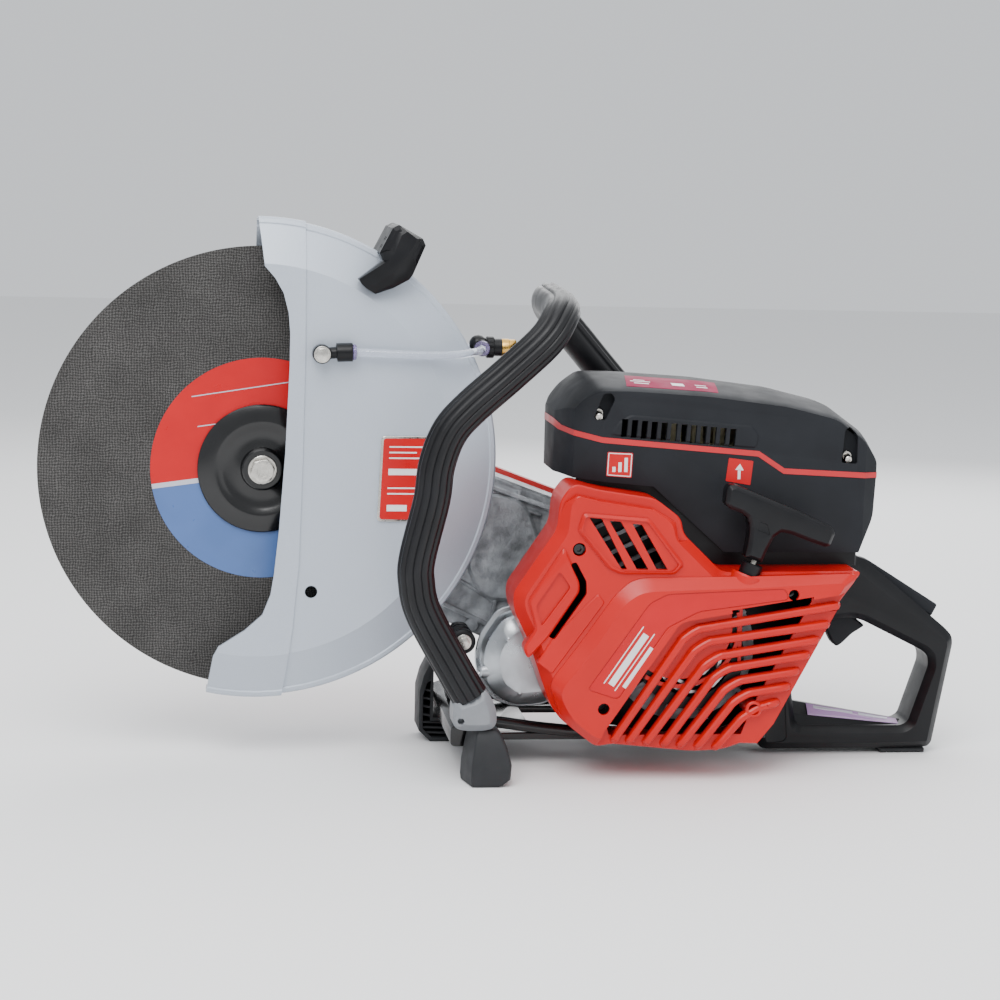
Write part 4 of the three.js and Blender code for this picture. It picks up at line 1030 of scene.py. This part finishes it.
def fan_shroud():
    """Black plate that closes the back of the starter cover round the engine."""
    plate = prism("fan_shroud", inset(COVER_SIDE, 5), -57, -55, corner=4)
    cut(plate, pin("shroud_bore", CRANK.x, CRANK.z, -70, -40, 32, 64, edge=0))
    piece(plate, "chassis", "black")


def cover_screws():
    """Screws of the starter cover and the plain bars in its label field."""
    screws = (("socket", 42.8, 185.2, -101.5, 4.4), ("rear", 212.9, 150.9, -99, 4),
        ("low", 64.5, 60.5, -99, 4.2), ("boss", *BOSS, -99, 4))
    for name, x, z, depth, radius in screws:
        screw = pin(f"cover_screw_{name}", x, z, depth, depth + 6, radius, 32, edge=0.6)
        cut(screw, pin("socket", x, z, depth - 1, depth + 2.5, radius * 0.52, 6, edge=0))
        piece(screw, "chassis", "black_steel")
    field = prism("label_field", inset(LABEL_FIELD, 0.7), COVER_NEAR + 0.5, COVER_NEAR + 1.2, corner=3.6)
    piece(field, "chassis", "label_red")
    start, along = Vector((64, 81)), Vector((0.555, 0.832))
    across = Vector((0.832, -0.555))
    bars = ((0, 0, 54, 0.8), (5.4, 2, 50, 5.2), (10.6, 0, 54, 0.8), (15.2, 6, 44, 3.4))
    for i, (offset, low, high, width) in enumerate(bars):
        a, b = start + across * offset + along * low, start + across * offset + along * high
        bar_mark = prism(f"label_bar_{i}", ribbon([a, b], width), COVER_NEAR + 0.35, COVER_NEAR + 0.6)
        piece(bar_mark, "chassis", "label_white")


# ---------------------------------------------------------------- front handle, clamp and feet
HANDLE_PATH = [(-40, -104, 69.3), (-52.2, -104, 89.9), (-77.3, -104, 134.8), (-83.6, -104, 160),
    (-83, -104, 180), (-73, -104, 223.5), (-69.7, -104, 250.5), (-61, -104, 275), (-45.4, -104, 293.8),
    (-15.2, -104, 321), (12, -104, 347), (24, -92, 363), (30, -64, 368), (34, 0, 369), (40, 64, 368),
    (46, 92, 360), (60, 104, 346), (86, 104, 315.9), (127.4, 104, 268), (148, 98, 242), (152, 94, 222)]
SLEEVE_RADIUS = 14.3
GROOVE_DEPTH = 1.5
GROOVE_WIDTH = 0.075  # radians
GROOVES = (-1.25, -0.75, -0.25, 0.25, 0.75, 1.25)  # radians from the outside of the bend


def front_handle():
    """Rubber sleeve over the whole tube, with grooves along the outside of its bends."""
    section = []
    for i in range(72):
        angle = 2 * math.pi * i / 72
        groove = 0.0
        for centre in GROOVES:
            gap = abs((angle - math.pi - centre + math.pi) % (2 * math.pi) - math.pi)
            groove = max(groove, math.exp(-(gap / GROOVE_WIDTH) ** 2))
        radius = SLEEVE_RADIUS - GROOVE_DEPTH * groove
        section.append((radius * math.cos(angle), radius * math.sin(angle)))
    sleeve = sweep("front_sleeve", HANDLE_PATH, section, 9)
    piece(sleeve, "chassis", "grip", ["front_handle"], angle=50)


def ends_of_handle():
    """Clamp at the near front end of the tube and cup with a bolted plate at the far one."""
    low, high = node_box("handle_clamp_near")
    outline = [(-53.5, 66.5), (-38, 71.7), (-30, 77.2), (-24.1, 70.5), (-20.1, 60.5), (-19.5, 50.5),
        (-22.5, 45.6), (-29.4, 44), (-43.3, 44), (-50.7, 45.6), (-53.7, 49.5), (-54.1, 57.7)]
    clamp = prism("clamp", outline, low.y, high.y, corner=4, edge=6)
    add(clamp, pin("clamp_boss", -48, 52.6, low.y + 2, low.y + 12, 5.4, 32, edge=1.2))
    cut(clamp, pin("clamp_bolt_hole", -48, 52.6, low.y - 2, low.y + 8, 2.8, 6, edge=0))
    piece(soften(clamp, 1.6, 3, 24), "chassis", "grey", ["handle_clamp_near"], angle=45)
    mouth = [(136.5, 217), (136.5, 182), (169.5, 182), (169.5, 217)]
    cup = prism("far_cup", mouth, 76.4, 111.6, corner=6, edge=4)
    plate = prism("far_plate", [(138, 182.5), (138, 176.8), (158, 176.8), (158, 182.5)], 31.4, 100, edge=1)
    add(cup, plate)
    for y in (42, 58):
        cut(cup, bar("plate_hole", (148, y, 170), (148, y, 190), 3, 24, edge=0))
    piece(soften(cup, 1, 3, 30), "chassis", "grey", ["handle_clamp_far"])


def foot_near():
    """Rubber block with a narrow left facet, tapering upwards. Each level is height, left, right, pinch."""
    low, high = node_box("front_foot_near")
    levels = [(0.0, -37.4, -16.4, 1.5), (1.2, -38.4, -13.6, 0.4), (5.6, -38.9, -7.8, 0),
        (17, -38.4, -7.0, 0.4), (31, -36.4, -10.8, 2.6), (40, -35, -14.8, 5), (43.7, -33.6, -17.6, 7.5)]
    loops = []
    for z, left, right, pinch in levels:
        near, far = low.y + pinch, high.y - pinch
        outline = rounded([(left - 6.1, far - 4), (left, near), (right - 2, near), (right, near + 3),
            (right, far - 2), (left, far)], 2)
        loops.append([(x, y, z) for x, y in outline])
    foot = loft("foot_near", loops)
    piece(soften(foot, 0.6, 2, 30), "chassis", "foot", ["front_foot_near"], angle=24)


def foot_far():
    """Hollow bracket with a tall wall and slats across its mouth."""
    low, high = node_box("front_foot_far")
    outline = [(-52.6, 66.9), (-55.5, 66.8), (-60.8, 56), (-64.2, 42.4), (-64.2, 9.4), (-54.7, 0.1),
        (-25, 0.1), (-18.4, 9.4), (-18.4, 20.4), (-52.6, 20.4)]
    shell = prism("foot_far", outline, low.y, high.y)
    mouth = [(-54.8, 52), (-57.8, 50), (-61, 40), (-61, 11), (-53.4, 3.4), (-26.4, 3.4), (-21.6, 10.6),
        (-21.6, 17.6), (-54.8, 17.6)]
    cut(shell, prism("foot_hollow", mouth, low.y - 5, high.y - 5))
    slats = ((-58.6, -22, 6.4), (-61, -21, 10.8), (-61, -21, 15.2), (-61.6, -53.6, 22),
        (-61.6, -53.6, 29), (-61.6, -53.6, 36), (-60, -53.6, 43))
    for left, right, z in slats:
        slat = [(left, z), (right, z - 1.6), (right, z), (left, z + 1.6)]
        add(shell, prism("foot_slat", slat, low.y + 3, high.y - 3))
    piece(soften(shell, 0.5, 2, 30), "chassis", "foot", ["front_foot_far"])


# ---------------------------------------------------------------- chassis, muffler and arm
def chassis_frame():
    """Base with its windows, rails and cross-member, and the cast bracket under the cover."""
    low, _ = node_box("base_plate")
    outer = [(-20, low.z), (211, low.z), (211, 27), (-20, 27)]
    plate = prism("base", outer, -48, 72, edge=1)
    for y in (-46, 64):
        rail = [(-40, y, 37), (-14, y, 36), (30, y, 30), (80, y, 26.5), (205, y, 25.8)]
        add(plate, sweep("base_rail", rail, circle(4.8, 20), 5))
    for x in (20, 80, 140):
        cut(plate, prism("base_window", [(x, 10), (x + 46, 10), (x + 46, 40), (x, 40)], -26, 48))
    cross = [(-52, 25), (-52, 40), (-46, 44), (-16, 44), (-16, 25)]
    add(plate, prism("cross_member", cross, -84, 72, corner=4))
    piece(soften(plate, 0.8, 2, 30), "chassis", "black_steel", ["base_plate"])
    bracket_low, bracket_high = node_box("bottom_bracket")
    outline = [(168, 28), (203, 28), (203, 33), (196, 38), (184, 44), (168, 44)]
    bracket = prism("under_bracket", outline, bracket_low.y, bracket_high.y, corner=3, edge=1.5)
    cut(bracket, pin("bracket_hole", 190, 33.6, bracket_low.y - 2, bracket_high.y + 2, 3, 24, edge=0))
    piece(soften(bracket, 0.6, 2, 30), "chassis", "cast", ["bottom_bracket"])


BUFFER_PLACE = (-36.5, 97.5)


def buffer_front():
    """Rubber mount beside the silencer, with its steel washer and screw."""
    x, z = BUFFER_PLACE
    profile = [(0, -30), (8.6, -30), (10, -28.4), (10, -22), (7.6, -19), (7.6, -13), (10, -10), (10, -3),
        (0, -3)]
    piece(turned("buffer_front", profile, (x, 0, z), closed=False), "chassis", "grip")
    washer = pin("buffer_washer", x, z, -31.6, -30.1, 6.4, 40, edge=0.3)
    add(washer, prism("buffer_screw", hexagon((x, z), 4.6), -34.6, -31.4))
    piece(soften(washer, 0.4, 2, 30), "chassis", "zinc")
    arm = [(-46, 43), (-50, 62), (-48, 98), (-42, 108), (-31, 108), (-27, 98), (-36, 80), (-38, 62),
        (-30, 43)]
    piece(prism("buffer_bracket", arm, -2.8, 4, corner=4, edge=1), "chassis", "black_steel")


def muffler():
    """Pressed silencer: a bowl with bevelled sides, a folded seam behind it and a short outlet."""
    side = [(-25, 84), (-22, 101), (-8, 122), (14, 127), (45, 114), (45, 56), (30, 47), (6, 45), (-10, 51),
        (-21, 66)]
    levels = [(16, -50), (14.6, -49.8), (4.6, -43), (3, -41), (1.6, -26), (1.6, -22), (3, -4), (5, 4),
        (9, 9), (12, 10)]
    body = loft("silencer", [at_depth(rounded(inset(side, d), 7, 4), y) for d, y in levels])
    add(body, prism("silencer_seam", rounded(inset(side, -2.2), 7, 4), -26, -23.4, edge=0.7))
    add(body, bar("silencer_port", (-24.6, -40, 75.5), (-10, -38, 75.5), 5.2, 32, edge=1))
    cut(body, bar("silencer_bore", (-27, -40.3, 75.5), (-21.5, -39.7, 75.5), 3.2, 24, edge=0))
    rib_outline = [(-5.6, 104), (-1.6, 106.4), (9, 80), (9.6, 58), (5.4, 57.6), (4.6, 78)]
    add(body, prism("silencer_rib", rib_outline, -50, -46, corner=1.6, edge=1.4))
    add(body, bar("silencer_neck", (40, -18, 110), (62, -18, 140), 9, 32))
    piece(soften(body, 1, 2, 30), "chassis", "stamped", ["muffler"], angle=26)


def stadium(spindle_radius, crank_radius, steps=40):
    """Outline round the spindle and the crank with straight tangents between them."""
    delta = Vector((SPINDLE.x - CRANK.x, SPINDLE.z - CRANK.z))
    along = math.atan2(delta.y, delta.x)
    spread = math.acos((crank_radius - spindle_radius) / delta.length)
    points = []
    arcs = ((CRANK, crank_radius, along + spread, 2 * math.pi - 2 * spread),
        (SPINDLE, spindle_radius, along - spread, 2 * spread))
    for centre, radius, begin, reach in arcs:
        for i in range(steps + 1):
            angle = begin + reach * i / steps
            points.append((centre.x + radius * math.cos(angle), centre.z + radius * math.sin(angle)))
    return points


# Ribs: two places on the arm, width and height. Bosses: a place on the arm and a radius.
ARM_RIBS = (((130, 52), (330, 60), 4, 4), ((140, 44), (230, 48), 3, 3), ((150, -48), (300, -58), 4, 4),
    ((205, 60), (228, -60), 3.4, 3), ((262, 64), (276, 10), 5, 4.4), ((160, 20), (215, 34), 3, 2.4),
    ((150, -20), (225, -34), 3, 2.4), ((176, 36), (186, 52), 3, 3.4), ((186, 34), (196, 50), 3, 3.4))
ARM_BOSSES = ((192, 8, 5.5), (244, 30, 6), (238, -40, 6), (300, 52, 6.5), (212, -58, 6))


def arm_casting():
    """Cast arm between engine and spindle, with ribs and bosses on its near face."""
    near, far = 30, node_box("arm_casting")[1].y
    outside = prism("arm", stadium(58.4, 68.4), near, far, edge=2)
    cut(outside, prism("arm_pocket", stadium(54, 64), near + 6, far + 10))
    step = [(-22, 214), (20, 205), (40, 150), (20, 122), (-14, 120), (-30, 150)]
    add(outside, prism("arm_step", step, near - 5, near + 1, corner=14, edge=2.5))
    for a, b, width, height in ARM_RIBS:
        path = ribbon([on_arm(*a), on_arm(*b)], width)
        add(outside, prism("arm_rib", path, near - height, near + 1, edge=0.8))
    for distance, side, radius in ARM_BOSSES:
        x, z = on_arm(distance, side)
        add(outside, pin("arm_boss", x, z, near - 4, near + 1, radius, 28, edge=0.8))
    hub = turned("arm_hub", [(18, 19), (26, 19), (27, 20), (27, 46), (18, 46)], HUB)
    add(outside, hub)
    cut(outside, bar("arm_hub_bore", HUB, (SPINDLE.x, 60, SPINDLE.z), 18, 48, edge=0),
        pin("arm_shaft_hole", CRANK.x, CRANK.z, 20, 50, 20, 48, edge=0))
    piece(soften(outside, 0.9, 2, 30), "chassis", "cast", ["arm_casting"], angle=35)


def belt_cover():
    """Far side cover of the belt, with a step, grooves and round caps."""
    low, high = node_box("belt_cover")
    near, far = low.y, high.y
    outside = prism("belt_shell", stadium(62, 72), near, far, edge=5)
    add(outside, prism("belt_step", stadium(48, 57), far - 3, far + 1.2, edge=1))
    grooves = []
    for i in range(9):
        start = 96 + 22 * i
        ends = [on_arm(start, -30 - i), on_arm(start, 30 + i) + ALONG_ARM * 14]
        grooves.append(prism("belt_groove", ribbon(ends, 6), far - 0.6, far + 5))
    grooves.append(prism("belt_pocket", stadium(57, 67), near - 4, far - 4))
    cut(outside, *grooves)
    for centre, radius in ((SPINDLE, 30), (CRANK, 38)):
        cap = turned("belt_cap", [(0, far - 2.8), (radius, far - 2.8), (radius, far + 1.4),
            (radius - 2, far + 2.6), (radius - 9, far + 2.6), (radius - 10, far + 1.9), (0, far + 1.9)],
            (centre.x, 0, centre.z), closed=False)
        add(outside, cap)
    piece(soften(outside, 0.9, 2, 30), "chassis", "red", ["belt_cover"])
    screws = ((0, 50), (0, -50), (120, 55), (120, -57), (330, 56), (352, -50))
    for i, (distance, side) in enumerate(screws):
        x, z = on_arm(distance, side)
        screw = pin(f"belt_screw_{i}", x, z, far - 1, far + 2.4, 4.6, 28, edge=0.7)
        cut(screw, pin("socket", x, z, far + 0.6, far + 4, 2.3, 6, edge=0))
        piece(screw, "chassis", "black_steel")


# ---------------------------------------------------------------- starter grip and rear handle
def starter_grip():
    """Slanted T grip and the collar that its rope comes out of."""
    middle = middle_of("starter_grip").y
    side = [(158.2, 233), (160.5, 236.2), (165.5, 236.4), (214, 217), (243.5, 203.6), (246.6, 198.4),
        (243, 189), (239.5, 187.6), (224.7, 192.6), (210.5, 198), (203, 199.4), (197.4, 195.4),
        (192.6, 186), (188.2, 174.8), (174.6, 179.6), (177, 192), (177.8, 204), (175.6, 210.6),
        (170.4, 214.4), (160.4, 218), (157.2, 222)]
    grip = prism("grip", side, middle - 9, middle + 9, corner=1.6, edge=3.2)
    mark = [(183, 201.4), (193.4, 197.4), (191, 205.6), (184.6, 208)]
    seat = Vector((178, middle, 163))
    cut(grip, prism("grip_mark", mark, middle - 12, middle - 8.2),
        bar("grip_bore", seat + PULL * 5, seat + PULL * 22, 3, 24, edge=0))
    piece(soften(grip, 1.5, 3, 24), "starter_grip", "black", ["starter_grip"], angle=50)
    guide = middle_of("rope_guide")
    collar = turned("rope_collar", [(3.1, -8), (6.9, -8), (6.9, -1), (8.3, 0), (8.6, 8.8), (7.9, 9.6),
        (3.1, 9.6)], tuple(guide), tuple(PULL), 56)
    piece(collar, "chassis", "black", ["rope_guide"])


def starter_rope():
    """Cord from the drum up through the guide and a little way out of it."""
    guide = middle_of("rope_guide")
    route = [Vector((CRANK.x + 39, guide.y, CRANK.z + 6)), Vector((174, guide.y, 140)), guide - PULL * 6]
    points = smooth_path(route, 8)[:-1] + [guide + PULL * (24 * k / 160 - 6) for k in range(161)]
    cord = sweep("rope", points, circle(2, 12), 0)
    stretch = ("chassis", "starter_grip", guide - PULL * 5, guide + PULL * 16)
    piece(cord, stretch, "rope", ["starter_rope"], angle=60)


def rear_handle():
    """D handle with flared opening, a crest along its lower bar and its label, and the foot pad."""
    low, high = node_box("rear_handle")
    outside = [(213, 4.4), (321, 4.2), (358, 5.1), (361.5, 9), (375.6, 93), (374.6, 99.5), (369, 105.6),
        (300, 161.5), (291, 166.5), (214, 170)]
    gap = [(244, 24), (334.5, 23.4), (340.5, 27), (355.6, 74.6), (354.5, 82.6), (350, 87), (296.3, 113.2),
        (286, 115), (262, 112), (243, 97), (238.6, 58)]
    frame_body = prism("rear_frame", outside, low.y, high.y, corner=7, edge=6)
    hole = prism("rear_gap", gap, low.y - 5, high.y + 5, corner=8)
    wide, narrow = rounded(inset(gap, -6), 8), rounded(inset(gap, 0), 8)
    cut(frame_body, hole)
    for outer, inner in ((low.y - 0.5, low.y + 6), (high.y + 0.5, high.y - 6)):
        cut(frame_body, loft("rear_flare", [at_depth(wide, outer), at_depth(narrow, inner)]))
    panel = [(218, 10), (236, 12), (232, 60), (238, 100), (250, 122), (236, 150), (218, 152)]
    facet = [[(x, low.y - 1, under), (x, low.y - 1, over), (x, low.y + 11, over)]
        for x, under, over in ((290, 152, 176), (374, 90, 112))]
    cut(frame_body, prism("rear_panel", panel, low.y - 4, low.y + 1.4, corner=5), loft("rear_facet", facet))
    half = high.y - 3
    ends = [(240, 42.6, 33), (345, 24, 22)]
    add(frame_body, loft("rear_crest", [[(x, -half, 16), (x, -half, 20.2), (x, -11, side), (x, -2, crest),
        (x, 8, crest - 1), (x, half, 20.2), (x, half, 16)] for x, crest, side in ends]))
    (x0, crest0, side0), (x1, crest1, side1) = ends
    for name, span, rise, look in (("handle_label", (256, 334), (0.06, 0.94), "label_lilac"),
            ("handle_label_bar_0", (262, 296), (0.62, 0.84), "label_silver"),
            ("handle_label_bar_1", (301, 326), (0.62, 0.84), "label_silver")):
        lift = 0.4 if name == "handle_label" else 0.55
        loops = []
        for x in span:
            t = (x - x0) / (x1 - x0)
            crest, side = crest0 + (crest1 - crest0) * t, side0 + (side1 - side0) * t
            y_low, y_high = -11 + 9 * rise[0], -11 + 9 * rise[1]
            z_low, z_high = side + (crest - side) * rise[0], side + (crest - side) * rise[1]
            loops.append([(x, y_low, z_low - 0.6), (x, y_low, z_low + lift), (x, y_high, z_high + lift),
                (x, y_high, z_high - 0.6)])
        piece(loft(name, loops), "chassis", look)
    cut(frame_body, prism("trigger_pocket", [(262, 100), (312, 92), (312, 124), (262, 128)], -7, 7),
        prism("lock_pocket", [(292, 175), (370, 118), (356, 104), (284, 156)], -9, 9))
    piece(soften(frame_body, 1.1, 3, 28), "chassis", "black", ["rear_handle"], angle=40)
    pad_low, pad_high = node_box("rear_foot_pad")
    sole = [(pad_low.x, 0), (pad_high.x, 0), (pad_high.x, 3.8), (pad_low.x, 3.8)]
    pad = prism("rear_pad", sole, pad_low.y, pad_high.y, corner=0.6, edge=1)
    cut(pad, *[prism("pad_groove", box_outline(pad_low.x + 6 + 6.5 * i, -1, 1.4, 2), -30, 30)
        for i in range(5)])
    piece(pad, "chassis", "foot", ["rear_foot_pad"])


def trigger_and_lock():
    """Throttle trigger in the opening and lock lever on top of the grip."""
    outline = [(270, 118), (268, 106), (275, 92), (279.5, 88), (284, 91), (292, 99), (303, 106), (286, 119)]
    trigger = prism("trigger", outline, -6.2, 6.2, corner=2.4, edge=1.6)
    piece(soften(trigger, 0.8, 3, 26), "trigger", "charcoal", ["throttle_trigger"], angle=45)
    outline = [(296, 163.5), (303, 161.5), (364, 124), (359, 114), (350, 119), (300, 152), (293, 157)]
    lock = prism("lock", outline, -8.2, 8.2, corner=2, edge=1.6)
    for i in range(5):
        path = [(318 + 8 * i, 154.6 - 4.9 * i), (316 + 8 * i, 150.4 - 4.9 * i)]
        cut(lock, prism("lock_groove", ribbon(path, 1.6), -6, 6))
    piece(soften(lock, 0.7, 2, 26), "lock_lever", "charcoal", ["throttle_lock"], angle=45)


PIECES = [disc_and_label, flange_and_bolt, guard_shell, guard_details, guard_lever, water_kit, hood,
    recess_floor, intake_tray, hood_stickers, starter_cover, fan_shroud, cover_screws, front_handle,
    ends_of_handle, foot_near, foot_far, chassis_frame, buffer_front, muffler, arm_casting, belt_cover,
    starter_grip, starter_rope, rear_handle, trigger_and_lock]

camera_and_stage()
repaint_frame()
for make in PIECES:
    make()
